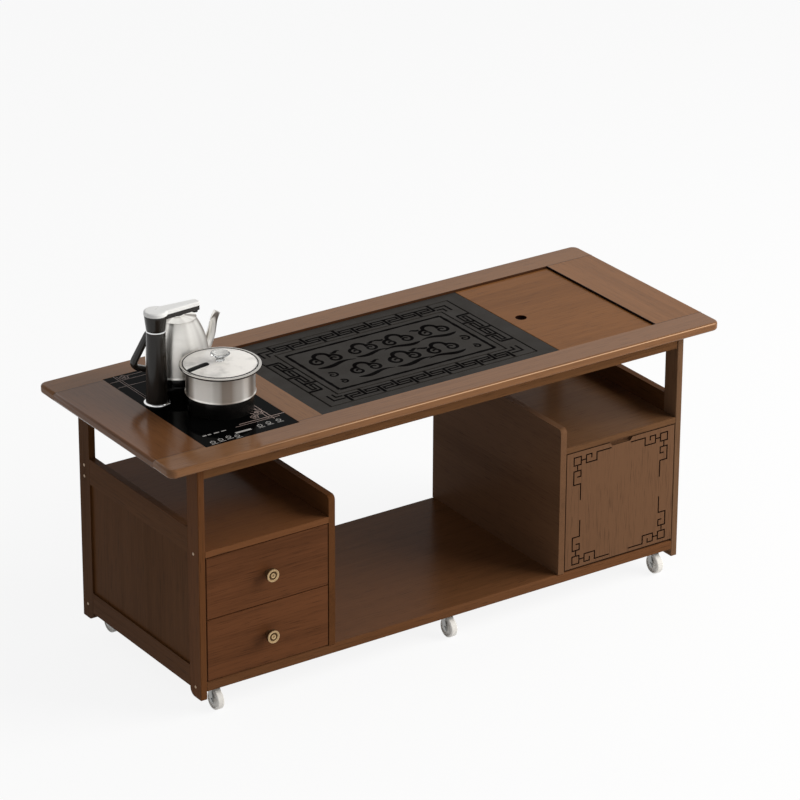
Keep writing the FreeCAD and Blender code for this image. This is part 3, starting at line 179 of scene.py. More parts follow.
def plank_grain():
    """Straight hardwood grain along X: broad bands, fine streaks and short dark pores."""
    colours = [(label, "Color") for label in ("Pale", "Deep", "Pore")]
    group, given, made = new_group(
        "plank_grain",
        [("Position", "Vector"), *colours, ("Figure", "Float")],
        [("Color", "Color"), ("Streak", "Float"), ("Height", "Float")],
    )

    def streaks(stretch, detail, warp=0.0):
        """Noise that is drawn out along the board."""
        spot = reckon_vector(group, "MULTIPLY", given.outputs["Position"], stretch)
        look = {"Scale": 1, "Detail": detail, "Roughness": 0.55, "Distortion": warp}
        return shade(group, "ShaderNodeTexNoise", Vector=spot, **look).outputs[0]

    board_tone = streaks((0.9, 5, 5), 1)
    broad_band = streaks((1.6, 34, 34), 3, 0.5)
    fine_streak = streaks((6, 330, 330), 2)
    pore = streaks((22, 900, 900), 1)
    depth = reckon(group, "MULTIPLY", broad_band, given.outputs["Figure"])
    depth = reckon(group, "MULTIPLY_ADD", board_tone, 0.55, depth)
    depth = reckon(group, "MULTIPLY_ADD", fine_streak, 0.5, depth)
    eased = {"interpolation_type": "SMOOTHSTEP"}
    spread = shade(group, "ShaderNodeMapRange", eased, Value=depth, From_Min=0.62, From_Max=1.2).outputs[0]
    pore_mask = ramp(group, pore, 0.6, 0.72, 0, 0.55)
    wood = tint(group, spread, given.outputs["Pale"], given.outputs["Deep"])
    pored = tint(group, pore_mask, wood, given.outputs["Pore"])
    height = reckon(group, "SUBTRACT", fine_streak, pore_mask)
    for label, socket in (("Color", pored), ("Streak", spread), ("Height", height)):
        group.links.new(socket, made.inputs[label])
    return group


grain_group = plank_grain()
grain_turns = {"X": (0, 0, 0), "Y": (0, 0, -math.pi / 2), "Z": (0, math.pi / 2, 0)}


def plank(name, along, pale, deep, seed, rough=0.4, shine=0.1, figure=0.5):
    """Lacquered hardwood with its grain along an axis. The seed picks another cut of the log."""
    finish = bpy.data.materials.new(name)
    tree = blank_tree(finish)
    place = shade(tree, "ShaderNodeTexCoord").outputs["Object"]
    shift = (seed * 1.7, seed * 0.83, seed * 0.41)
    cut = shade(tree, "ShaderNodeMapping", Vector=place, Rotation=grain_turns[along], Location=shift)
    grain = shade(
        tree,
        "ShaderNodeGroup",
        {"node_tree": grain_group},
        Position=cut.outputs[0],
        Pale=paint(*pale),
        Deep=paint(*deep),
        Pore=paint(*(v * 0.55 for v in deep)),
        Figure=figure,
    )
    relief = shade(tree, "ShaderNodeBump", Strength=0.1, Distance=0.3 * mm, Height=grain.outputs["Height"])
    surface = shade(
        tree,
        "ShaderNodeBsdfPrincipled",
        Base_Color=grain.outputs["Color"],
        Roughness=ramp(tree, grain.outputs["Streak"], 0, 1, rough * 0.85, rough * 1.2),
        Normal=relief.outputs[0],
        Specular_IOR_Level=shine,
    )
    shade(tree, "ShaderNodeOutputMaterial", Surface=surface.outputs[0])
    return finish


def dress(finish, *names):
    """Gives CAD nodes a finish."""
    for name in names:
        piece = nodes[name]
        if not piece.material_slots:
            piece.data.materials.append(finish)
        for slot in piece.material_slots:
            slot.link = "OBJECT"
            slot.material = finish


def ease(width, *names):
    """Takes the sharp edges off CAD nodes, so that the joints between boards show as fine lines."""
    for name in names:
        joined = nodes[name].modifiers.new("joined_faces", "WELD")
        joined.merge_threshold = 0.01 * mm
        eased = nodes[name].modifiers.new("eased_edges", "BEVEL")
        eased.width = width
        eased.segments = 2
        eased.limit_method = "ANGLE"
        eased.angle_limit = math.radians(50)


for seed, (name, along, pale, deep, shine) in enumerate(
    (
        ("top_front_rail", "X", (126, 87, 56), (106, 71, 44), 0.12),
        ("top_back_rail", "X", (126, 86, 52), (106, 70, 41), 0.11),
        ("top_left_board", "Y", (112, 73, 44), (92, 59, 35), 0.14),
        ("top_right_board", "Y", (134, 91, 56), (113, 76, 46), 0.06),
        ("top_cross_strip", "Y", (124, 83, 46), (104, 68, 37), 0.1),
        ("cover_board", "X", (127, 83, 46), (105, 67, 36), 0.03),
    )
):
    dress(plank(f"{name}_wood", along, pale, deep, seed + 1, rough=0.16, shine=shine), name)
    ease(0.8 * mm, name)


def finish_of(name):
    """The finish that a CAD node wears."""
    return nodes[name].material_slots[0].material


def stain_and_paint_light(finish, mask, colour):
    """Mixes a colour in where a mask made from the place on the piece is one: patina and painted light."""
    tree = finish.node_tree
    surface = next(item for item in tree.nodes if item.type == "BSDF_PRINCIPLED")
    place = shade(tree, "ShaderNodeTexCoord").outputs["Object"]
    bare = surface.inputs["Base Color"].links[0].from_socket
    tree.links.new(tint(tree, mask(tree, place), bare, paint(*colour)), surface.inputs["Base Color"])


def near_wall(axis, limit):
    """A mask for what lies below a limit on an axis."""

    def mask(tree, place):
        reach = shade(tree, "ShaderNodeSeparateXYZ", Vector=place).outputs[axis]
        return reckon(tree, "LESS_THAN", reach, limit)

    return mask


def level_offset(tree, place, axis):
    """The level part of the way to a place from an upright axis."""
    return reckon_vector(tree, "MULTIPLY", reckon_vector(tree, "SUBTRACT", place, axis), (1, 1, 0))


hole_centre = (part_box("cover_board")[0][0] + 33 * mm, 0, 0)
hole_radius = 11 * mm


def shaded_finger_hole(tree, place):
    """A mask for the wall of the lift-out board's finger hole, for painted shade."""
    reach = reckon_vector(tree, "LENGTH", level_offset(tree, place, hole_centre))
    return reckon(tree, "LESS_THAN", reach, hole_radius + 0.5 * mm)


def painted_edge_highlight(tree, place):
    """A mask for the front rail's upper edge, for a painted pale highlight line."""
    low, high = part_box("top_front_rail")
    spread = shade(tree, "ShaderNodeSeparateXYZ", Vector=place).outputs
    rightward = ramp(tree, spread["X"], -0.5, -0.2)
    outward = ramp(tree, spread["Y"], low[1] + 2 * mm, low[1] + mm)
    upward = ramp(tree, spread["Z"], high[2] - 3 * mm, high[2] - 2 * mm)
    return reckon(tree, "MULTIPLY", reckon(tree, "MULTIPLY", rightward, outward), upward)


# A pale highlight line is painted along the front rail's upper edge.
stain_and_paint_light(finish_of("top_front_rail"), painted_edge_highlight, (206, 166, 130))
# Painted shade darkens the right board's wall beside the lift-out board.
shaded_right_wall = near_wall("X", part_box("top_right_board")[0][0] + 0.9 * mm)
stain_and_paint_light(finish_of("top_right_board"), shaded_right_wall, (26, 13, 8))
# Painted shade darkens the back rail's inner edge beside the slab.
shaded_back_wall = near_wall("Y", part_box("top_back_rail")[0][1] + 0.5 * mm)
stain_and_paint_light(finish_of("top_back_rail"), shaded_back_wall, (66, 40, 24))
# Painted shade darkens the wall of the finger hole.
stain_and_paint_light(finish_of("cover_board"), shaded_finger_hole, (30, 14, 9))


def ribbons(name, runs, level, thick=0.12 * mm):
    """Flat inlaid lines. A run is a list of (x, y, width); its corners are mitred."""
    mesh = bpy.data.meshes.new(name)
    form = bmesh.new()
    heights = (level, level + thick)
    sharpest_mitre = 0.5
    for run in runs:
        spots = [Vector(spot[:2]) for spot in run]
        pairs = []
        for index, (spot, (_, _, width)) in enumerate(zip(spots, run)):
            before = (spot - spots[index - 1]).normalized() if index else None
            after = (spots[index + 1] - spot).normalized() if index + 1 < len(spots) else None
            along = (before or after) + (after or before)
            side = Vector((-along.y, along.x)).normalized()
            last = after or before
            lean = max(abs(side.dot(Vector((-last.y, last.x)))), sharpest_mitre)
            pairs.append((spot + side * width / 2 / lean, spot - side * width / 2 / lean))
        corners = []
        for pair in pairs:
            corners.append([form.verts.new((*spot, height)) for spot in pair for height in heights])
        for near, far in zip(corners, corners[1:]):
            for one, two in ((0, 1), (1, 3), (3, 2), (2, 0)):
                form.faces.new((near[one], near[two], far[two], far[one]))
        for end in (corners[0], corners[-1]):
            form.faces.new((end[0], end[1], end[3], end[2]))
    bmesh.ops.recalc_face_normals(form, faces=form.faces)
    form.to_mesh(mesh)
    form.free()
    return mesh


def add_piece(name, mesh, body, finish):
    """Puts a mesh on a body with its finish."""
    piece = bpy.data.objects.new(name, mesh)
    scene.collection.objects.link(piece)
    mesh.materials.clear()
    mesh.materials.append(finish)
    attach(piece, body)
    return piece


# Dark lines laid over the joints between the top's boards are painted shadow of the seams.
seam_shadow_wood = plank("seam_shadow_wood", "X", (58, 36, 22), (40, 25, 15), 9)
seam_width, seam_depth = 1.3 * mm, 0.08 * mm
seam_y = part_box("top_left_board")[1][1]
seam_ends = [
    (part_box("top_left_board")[0][0] + 2 * mm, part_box("stove_glass")[0][0]),
    (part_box("stove_glass")[1][0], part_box("top_cross_strip")[1][0]),
    (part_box("top_right_board")[0][0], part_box("top_right_board")[1][0] - 2 * mm),
]
seams = [[(x, y, seam_width) for x in ends] for ends in seam_ends for y in (-seam_y, seam_y)]
top_seam_shadows = ribbons("top_seam_shadows", seams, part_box("top_front_rail")[1][2] - seam_depth)
add_piece("top_seam_shadows", top_seam_shadows, "table", seam_shadow_wood)


# Base: stiles with rounded feet, rails, framed panels, aprons, deck, dividers and shelves, of the
# same hardwood in a deeper brown. They are glued and screwed together and lacquered satin, and the
# boards that carry things are glossier.
for seed, (name, along, pale, deep, rough) in enumerate(
    (
        ("front_left_stile", "Z", (96, 60, 34), (78, 48, 27), 0.45),
        ("back_left_stile", "Z", (84, 53, 28), (66, 41, 21), 0.45),
        ("front_right_stile", "Z", (106, 78, 56), (88, 64, 46), 0.45),
        ("back_right_stile", "Z", (90, 60, 36), (72, 47, 28), 0.45),
        ("side_frame_rails", "Y", (88, 56, 31), (70, 44, 24), 0.45),
        ("side_panels", "Z", (86, 54, 28), (68, 42, 21), 0.45),
        ("aprons", "X", (104, 70, 43), (86, 57, 34), 0.45),
        ("deck_board", "X", (100, 65, 40), (80, 52, 31), 0.25),
        ("left_divider", "Y", (90, 56, 31), (72, 44, 24), 0.4),
        ("right_divider", "Y", (104, 74, 52), (86, 61, 43), 0.4),
        ("left_shelf", "X", (108, 69, 42), (88, 56, 33), 0.25),
        ("right_shelf", "X", (104, 73, 48), (86, 59, 39), 0.25),
        ("cabinet_backs", "X", (86, 54, 30), (68, 42, 23), 0.45),
        ("top_ledges", "X", (86, 54, 30), (68, 42, 23), 0.45),
        ("drawer_runners", "Y", (86, 54, 30), (68, 42, 23), 0.45),
    )
):
    dress(plank(f"{name}_wood", along, pale, deep, seed + 11, rough=rough, shine=0.02), name)
    ease(0.7 * mm, name)


# Drawers: flat fronts of the same hardwood with boxes of a paler board. Each has a cast brass knob,
# a flat disc with raised rings, a beaded edge and a boss, darkened with age.
for seed, name in enumerate(("upper_drawer_front", "lower_drawer_front")):
    dress(plank(f"{name}_wood", "X", (98, 60, 36), (75, 45, 26), seed + 31, shine=0.03), name)
    ease(0.7 * mm, name)
for seed, name in enumerate(("upper_drawer_box", "lower_drawer_box")):
    dress(plank(f"{name}_wood", "Y", (176, 138, 98), (142, 106, 70), seed + 41, rough=0.5), name)


def smooth(mesh, angle=35):
    """Shades a mesh as curved, except where its faces meet at more than an angle in degrees."""
    mesh.shade_smooth()
    mesh.set_sharp_from_angle(angle=math.radians(angle))


def drawn(profile, foot=0.0):
    """Turns (radius, height) in millimetres above a foot into metres, as lathe takes them."""
    return [(radius * mm, foot + height * mm) for radius, height in profile]


def lathe(name, profile, centre, steps=96):
    """Spins (radius, height) points round the upright line through centre. Heights are absolute."""
    mesh = bpy.data.meshes.new(name)
    form = bmesh.new()
    rings = []
    for radius, height in profile:
        ring = []
        for step in range(steps if radius > 0 else 1):
            turn = math.tau * step / steps
            spot = (centre.x + radius * math.cos(turn), centre.y + radius * math.sin(turn), height)
            ring.append(form.verts.new(spot))
        rings.append(ring)
    for near, far in zip(rings, rings[1:]):
        for step in range(steps):
            corners = []
            for ring, place in ((near, step), (far, step), (far, step + 1), (near, step + 1)):
                vert = ring[place % len(ring)]
                if vert not in corners:
                    corners.append(vert)
            if len(corners) > 2:
                form.faces.new(corners)
    bmesh.ops.remove_doubles(form, verts=form.verts, dist=1e-6)
    bmesh.ops.recalc_face_normals(form, faces=form.faces)
    form.to_mesh(mesh)
    form.free()
    smooth(mesh)
    return mesh


def surface_wear():
    """Handling marks for metal, plastic and stone: a soft smudge mask and a fine speckle height."""
    group, given, made = new_group(
        "surface_wear",
        [("Position", "Vector"), ("Grain", "Float")],
        [("Smudge", "Float"), ("Speckle", "Float")],
    )
    place, grain = given.outputs["Position"], given.outputs["Grain"]
    smudge = shade(group, "ShaderNodeTexNoise", Vector=place, Scale=28, Detail=3, Roughness=0.6)
    speckle = shade(group, "ShaderNodeTexNoise", Vector=place, Scale=grain, Detail=2)
    group.links.new(smudge.outputs[0], made.inputs["Smudge"])
    group.links.new(speckle.outputs[0], made.inputs["Speckle"])
    return group


wear_group = surface_wear()


def coating(
    name, colour, rough, shine=0.5, metal=0, stretch=(1, 1, 1), grain=900, bump=0.05, tone=0.1, **more
):
    """A metal, plastic or stone finish with smudges in its gloss and a fine grain."""
    finish = bpy.data.materials.new(name)
    tree = blank_tree(finish)
    place = shade(tree, "ShaderNodeTexCoord").outputs["Object"]
    spot = reckon_vector(tree, "MULTIPLY", place, stretch)
    wear = shade(tree, "ShaderNodeGroup", {"node_tree": wear_group}, Position=spot, Grain=grain).outputs
    dull = paint(*(v * (1 - tone) for v in colour))
    fresh = paint(*(min(v * (1 + tone), 255) for v in colour))
    relief = shade(tree, "ShaderNodeBump", Strength=bump, Distance=0.1 * mm, Height=wear["Speckle"])
    surface = shade(
        tree,
        "ShaderNodeBsdfPrincipled",
        Base_Color=tint(tree, wear["Speckle"], dull, fresh),
        Roughness=ramp(tree, wear["Smudge"], 0.3, 0.7, rough * 0.8, rough * 1.25),
        Normal=relief.outputs[0],
        Specular_IOR_Level=shine,
        Metallic=metal,
        **more,
    )
    shade(tree, "ShaderNodeOutputMaterial", Surface=surface.outputs[0])
    return finish


def patina(tree, place):
    """A mask for what lies behind the knobs' raised rims, where the brass stays dark."""
    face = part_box("upper_drawer_knob")[0][1]
    depth = shade(tree, "ShaderNodeSeparateXYZ", Vector=place).outputs["Y"]
    return ramp(tree, depth, face + 1.5 * mm, face + 3 * mm)


old_brass = coating("old_brass", (194, 168, 128), 0.42, metal=0.8, grain=700, tone=0.15, bump=0.25)
stain_and_paint_light(old_brass, patina, (108, 84, 56))
knob_profile = (
    (0, 0),
    (6.4, 0),
    (6.4, 1.2),
    (5.6, 3),
    (5.2, 7),
    (7, 9.4),
    (11.8, 10.8),
    (13, 12.4),
    (13, 18.2),
    (12.4, 19.2),
    (11, 19),
    (10.2, 18.4),
    (9.2, 19),
    (8.4, 18.2),
    (7.8, 16),
    (5.8, 16),
    (5.3, 16.8),
    (4.9, 18.8),
    (4, 19.8),
    (3, 19.4),
    (2, 17.6),
    (0, 17.2),
)
knob_beads = ((28, 11.6, 1.1, 18.9), (9, 6.8, 0.9, 16.2))
for name in ("upper_drawer", "lower_drawer"):
    low, high = (Vector(corner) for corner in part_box(f"{name}_knob"))
    knob = lathe(f"{name}_rosette", drawn(knob_profile), Vector((0, 0, 0)), 72)
    form = bmesh.new()
    form.from_mesh(knob)
    for count, ring, radius, height in knob_beads:
        for index in range(count):
            turn = math.tau * index / count
            spot = Vector((ring * math.cos(turn), ring * math.sin(turn), height)) * mm
            bead = {"subdivisions": 2, "radius": radius * mm, "matrix": Matrix.Translation(spot)}
            bmesh.ops.create_icosphere(form, **bead)
    form.to_mesh(knob)
    form.free()
    smooth(knob, 45)
    knob_seat = Vector(((low.x + high.x) / 2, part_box(f"{name}_front")[0][1], (low.z + high.z) / 2))
    knob.transform(Matrix.Translation(knob_seat) @ Matrix.Rotation(math.pi / 2, 4, "X"))
    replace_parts(add_piece(f"{name}_rosette", knob, name, old_brass), f"{name}_knob")


# Flap door: one board with a fret carved in each corner and a scoop for the fingers. The carving is
# darkened with painted shade, and the door turns down on two steel pins.
def painted_fret_shade(tree, place):
    """A mask for the carving's walls and floor, by depth behind the door's face, for painted shade."""
    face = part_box("flap_door")[0][1]
    depth = shade(tree, "ShaderNodeSeparateXYZ", Vector=place).outputs["Y"]
    sunk = ramp(tree, depth, face + 0.1 * mm, face + 0.7 * mm)
    return reckon(tree, "MULTIPLY", sunk, reckon(tree, "LESS_THAN", depth, face + 2.4 * mm))


dress(plank("flap_door_wood", "Z", (101, 72, 51), (86, 59, 42), 51, shine=0.03, figure=0.25), "flap_door")
stain_and_paint_light(finish_of("flap_door"), painted_fret_shade, (24, 13, 8))
dress(coating("pin_steel", (150, 150, 150), 0.3, metal=1), "door_pivot_pins")


# Tray slab: a dark grey board of pressed stone. Its framing grooves, the key fret between them and
# the clouds in the middle are engraved and filled black. A plastic drain spigot is glued under it.
slab_low, slab_high = (Vector(corner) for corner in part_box("tea_slab"))
tray_stone = coating("tray_stone", (51, 48, 45), 0.45, shine=0.02, grain=1400, bump=0.1, tone=0.14)
dress(tray_stone, "tea_slab")
ease(0.8 * mm, "tea_slab")
dress(coating("drain_plastic", (34, 34, 34), 0.5), "slab_drain")
black_fill = coating("engraving_black", (3, 2, 2), 0.6, shine=0.005, tone=0.2)
end_margin, side_margin = 36 * mm, 25 * mm
groove, band, field_gap = 3 * mm, 39 * mm, 14 * mm
cell, stroke, line = 37.3 * mm, 6.2 * mm, 4.2 * mm
levels = (0.3, 0.52, 0.74)


def frame_sides(inset):
    """The sides of a rectangle inside the slab's margins, each from corner to corner, front first."""
    left, right = slab_low.x + end_margin + inset, slab_high.x - end_margin - inset
    front, back = slab_low.y + side_margin + inset, slab_high.y - side_margin - inset
    corners = [Vector(spot) for spot in ((left, front), (right, front), (right, back), (left, back))]
    return list(zip(corners, corners[1:] + corners[:1]))


def key_fret(corner, following):
    """The lines of the key fret along one side of the band, with the nested angles of its corner."""
    along = (following - corner).normalized()
    across = Vector((-along.y, along.x))
    room = (following - corner).length - 2 * band
    cells = 2 * int(room / cell / 2)
    start = band + (room - cells * cell) / 2

    def spot(run, depth, width):
        """A spot so far along the side, and at a share of the band's depth."""
        return (*(corner + along * run + across * band * depth), width)

    lines = []
    for count in range(cells + 1):
        foot, top = (levels[0], 1) if count % 2 else (0, levels[2])
        run = start + cell * count
        lines.append([spot(run, foot, stroke), spot(run, top, stroke)])
        if count < cells:
            turns = ((1, 0), (0.2, 0), (0.2, 1), (0.8, 1), (0.8, 2), (0, 2))
            if count % 2:
                turns = [(1 - share, level) for share, level in turns]
            lines.append([spot(run + cell * share, levels[level], line) for share, level in turns])
    for level in (0.45, 0.75):
        arms = ((1.12, level), (level, level), (level, 1.12))
        lines.append([spot(share * band, depth, line) for share, depth in arms])
    return lines


def uneven_line(corner, following, phase):
    """One side of the field's border, of a width that wavers as if cut by hand."""
    run = []
    for step in range(41):
        place = corner.lerp(following, step / 40)
        wave = math.sin(step * 0.9 + phase) + 0.6 * math.sin(step * 2.3)
        run.append((*place, (6.4 + 0.9 * wave) * mm))
    return run


fret = []
for corner, following in frame_sides(groove):
    fret += key_fret(corner, following)
for index, (corner, following) in enumerate(frame_sides(groove + band + groove + field_gap)):
    fret.append(uneven_line(corner, following, index))
add_piece("slab_fret", ribbons("slab_fret", fret, slab_high.z), "slab", black_fill)
fills = []
for inset in (groove / 2, groove * 1.5 + band):
    fills += [[(*near, groove), (*far, groove)] for near, far in frame_sides(inset)]
groove_fill = ribbons("groove_fill", fills, slab_high.z - 1.9 * mm)
add_piece("groove_fill", groove_fill, "slab", black_fill)


def cloud(centre, size, way):
    """A cloud of two curls joined over the top by a lobe, with a drifting tail and a wisp."""
    curl = []
    for step in range(30):
        share = step / 29
        turn = math.pi * (0.5 + 2.5 * (1 - share))
        reach = 0.07 + 0.35 * share
        curl.append((reach * math.cos(turn) - 0.5, reach * math.sin(turn), 0.11 + 0.09 * share))
    lobe = []
    for step in range(17):
        turn = math.radians(200 - 220 * step / 16)
        lobe.append((0.4 * math.cos(turn), 0.46 + 0.4 * math.sin(turn), 0.2 + 0.05 * math.sin(turn)))
    head = curl + lobe + [(-x, y, width) for x, y, width in reversed(curl)]
    drifts = []
    for left, right, rise, sway, broad in ((-0.95, 1.35, -0.68, 0.13, 0.3), (0.62, 1.2, 0.64, 0.07, 0.2)):
        drift = []
        for step in range(21):
            share = step / 20
            swell = 0.03 + (broad - 0.03) * math.sin(math.pi * share**0.7)
            drift.append((left + (right - left) * share, rise - sway * math.sin(share * math.tau), swell))
        drifts.append(drift)
    runs = []
    for run in (head, *drifts):
        runs.append([(centre.x + way * x * size, centre.y + y * size, width * size) for x, y, width in run])
    return runs


def swirl(centre, size):
    """A small curl that widens outwards."""
    run = []
    for step in range(22):
        share = step / 21
        turn, reach = math.tau * 1.3 * share, size * (0.15 + 0.85 * share)
        spot = centre + Vector((math.cos(turn), math.sin(turn))) * reach
        run.append((*spot, (2.6 + 2.6 * share) * mm))
    return run


slab_middle = (slab_low.xy + slab_high.xy) / 2
clouds = []
for x, y, size, way in (
    (-124, 36, 38, 1),
    (-36, 40, 34, 1),
    (44, 38, 36, -1),
    (128, 38, 36, -1),
    (-82, -40, 36, 1),
    (8, -38, 38, 1),
    (94, -42, 37, -1),
):
    clouds += cloud(slab_middle + Vector((x, y)) * mm, size * mm, way)
for x, y, size in ((-152, -30, 12), (-150, -66, 9), (158, -22, 12), (156, -66, 9)):
    clouds.append(swirl(slab_middle + Vector((x, y)) * mm, size * mm))
add_piece("slab_clouds", ribbons("slab_clouds", clouds, slab_high.z), "slab", black_fill)


# Tea stove: a black glass plate with a printed lattice and blossoms in two corners and touch marks
# in front, over a sheet steel casing. The prints are plain ones, fired into the glass.
glass_low, glass_high = (Vector(corner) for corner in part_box("stove_glass"))
dress(coating("black_glass", (5, 5, 5), 0.05, shine=0.008, tone=0, bump=0), "stove_glass")
dress(coating("casing_paint", (40, 40, 42), 0.4), "stove_casing")
ease(0.6 * mm, "stove_glass", "stove_casing")
rose_print = coating("rose_print", (158, 138, 130), 0.4, shine=0.1, tone=0.05, bump=0)
white_print = coating("white_print", (168, 164, 160), 0.4, shine=0.1, tone=0.03, bump=0)
print_thick = 0.05 * mm


def circle_run(x, y, radius, width, steps=24, start=0.0, sweep=math.tau):
    """A run round a circle, or part of one."""
    turns = [start + sweep * step / steps for step in range(steps + 1)]
    return [(x + radius * math.cos(turn), y + radius * math.sin(turn), width) for turn in turns]


def blossom(x, y, size, width):
    """A five-petalled flower in outline, with a round heart."""
    runs = []
    for index in range(5):
        turn = math.tau * index / 5 + 0.3
        middle = (x + size * math.cos(turn), y + size * math.sin(turn))
        runs.append(circle_run(*middle, size * 0.6, width, 12))
    return [*runs, circle_run(x, y, size * 0.3, width, 10)]


def print_lines(rows):
    """Straight lines from (x, y, x, y, width), in millimetres from the glass's front left corner."""
    runs = []
    for x1, y1, x2, y2, width in rows:
        ends = ((x1, y1), (x2, y2))
        runs.append([(glass_low.x + x * mm, glass_low.y + y * mm, width * mm) for x, y in ends])
    return runs


lattice = print_lines(
    (
        (22, 225, 22, 370, 1.2),
        (27, 235, 27, 366, 1.0),
        (2, 346, 92, 346, 1.2),
        (2, 319, 78, 319, 1.2),
        (48, 361, 100, 361, 1.0),
        (173, 124, 173, 40, 1.6),
        (166, 120, 166, 48, 1.2),
        (104, 53, 202, 53, 1.6),
        (92, 46, 188, 46, 1.2),
    )
)
for x, y, size, width in ((39, 357, 5.5, 1.2), (160, 82, 8, 1.6), (146, 66, 5, 1.2)):
    lattice += blossom(glass_low.x + x * mm, glass_low.y + y * mm, size * mm, width * mm)
stove_lattice = ribbons("stove_lattice", lattice, glass_high.z, print_thick)
add_piece("stove_lattice", stove_lattice, "table", rose_print)
marks = print_lines(
    (
        (20, 45, 28, 45, 3.4),
        (31, 45, 38, 45, 3.4),
        (44, 45, 55, 45, 3),
        (60, 45, 70, 45, 2.6),
        (78, 24, 112, 24, 6),
        (126, 20, 140, 20, 3),
        (146, 22, 160, 22, 3),
        (168, 22, 182, 22, 3),
    )
)
for x, y in ((22, 13), (40, 15), (58, 17), (74, 12), (133, 28), (153, 30), (175, 30)):
    spot_x, spot_y = glass_low.x + x * mm, glass_low.y + y * mm
    marks.append(circle_run(spot_x, spot_y, 4.4 * mm, 1.5 * mm, steps=18, start=2.1, sweep=5.2))
    marks += print_lines(((x, y + 1, x, y + 6.5, 1.5), (x - 7, y - 8, x + 7, y - 8, 1.4)))
touch_marks = ribbons("stove_touch_marks", marks, glass_high.z, print_thick)
add_piece("stove_touch_marks", touch_marks, "table", white_print)


# Pump column: a tapered tube of glossy black plastic between two chrome rings. Its swivelling arm
# has a satin silver cap and carries water to the kettle.
black_plastic = coating("black_plastic", (33, 29, 25), 0.2, shine=0.36, tone=0.08, bump=0.02)
chrome = coating("chrome", (228, 228, 228), 0.08, metal=1, tone=0.01, bump=0)
satin_silver = coating("satin_silver", (236, 235, 232), 0.32, tone=0.015, bump=0.02)
dress(black_plastic, "pump_column", "pump_arm")
dress(chrome, "pump_rings")
dress(satin_silver, "pump_cap")
ease(0.5 * mm, "pump_column", "pump_rings", "pump_arm")


# Kettle: a spun steel body with a welded spout, a bent black handle and a lid with a filling hole.
# The steel is brushed round, with broad dark bands painted on as reflections. It is screwed to a
# black foot, which stands on a black heater seat.
def spun_steel(name, axis, reflection_colour, reflection_scale, reflection_start):
    """Steel turned on a lathe: brushed round its axis, with broad dark bands painted on as reflections."""
    brushed = {"metal": 1, "Anisotropic": 0.9, "Anisotropic_Rotation": 0.25, "stretch": (1, 1, 40)}
    finish = coating(name, (250, 246, 240), 0.42, grain=90, tone=0.03, bump=0.02, **brushed)

    def rays(tree, place):
        """A mask that changes only with the way round the axis."""
        way = reckon_vector(tree, "NORMALIZE", level_offset(tree, place, axis))
        start = reckon_vector(tree, "ADD", way, reflection_start)
        look = {"Scale": reflection_scale, "Detail": 0.6, "Roughness": 0.5}
        noise = shade(tree, "ShaderNodeTexNoise", Vector=start, **look)
        return ramp(tree, noise.outputs[0], 0.42, 0.62)

    # The bands are painted reflections, mixed into the steel's colour.
    stain_and_paint_light(finish, rays, reflection_colour)
    return finish


heater_black = coating("heater_black", (15, 14, 13), 0.25, shine=0.3, tone=0.08, bump=0.02)
dress(heater_black, "kettle_seat", "kettle_foot")
dress(black_plastic, "kettle_handle")
ease(1.2 * mm, "kettle_seat", "kettle_foot")
kettle_low, kettle_high = (Vector(corner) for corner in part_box("kettle_foot"))
kettle_axis = (kettle_low + kettle_high) / 2
kettle_steel = spun_steel("kettle_steel", kettle_axis, (150, 143, 136), 1.6, (7.6, 2.3, 0))
spout_axis = kettle_axis + Vector((74 * mm, 0, 0))
spout_steel = spun_steel("spout_steel", spout_axis, (120, 112, 106), 1.6, (7.6, 2.3, 0))
kettle_base = kettle_high.z
belly, mouth, sheet = 60 * mm, 37 * mm, 1.2 * mm
skirt, shoulder, lip = 25 * mm, 77.5 * mm, 104 * mm
side_bend = ((belly - mouth) ** 2 + shoulder**2) / (2 * (belly - mouth))


def kettle_side(inward):
    """The body's side from its foot to its lip, drawn in by the thickness of the sheet or by none."""
    side = [(59 * mm - inward, kettle_base + inward)]
    if not inward:
        side += drawn(((60.6, 0.3), (61.2, 1.2), (60.6, 2.2)), kettle_base)
    side += [(59.2 * mm - inward, kettle_base + 3.4 * mm), (belly - inward, kettle_base + skirt)]
    for step in range(1, 25):
        rise = shoulder * step / 24
        bow = side_bend - math.sqrt(side_bend**2 - rise**2)
        side.append((belly - inward - bow, kettle_base + skirt + rise))
    side.append((mouth - inward, kettle_base + lip))
    return side


shell_profile = [(0, kettle_base), *kettle_side(0), *kettle_side(sheet)[::-1], (0, kettle_base + sheet)]
shell = lathe("kettle_shell", shell_profile, kettle_axis)
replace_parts(add_piece("kettle_shell", shell, "kettle", kettle_steel), "kettle_body")


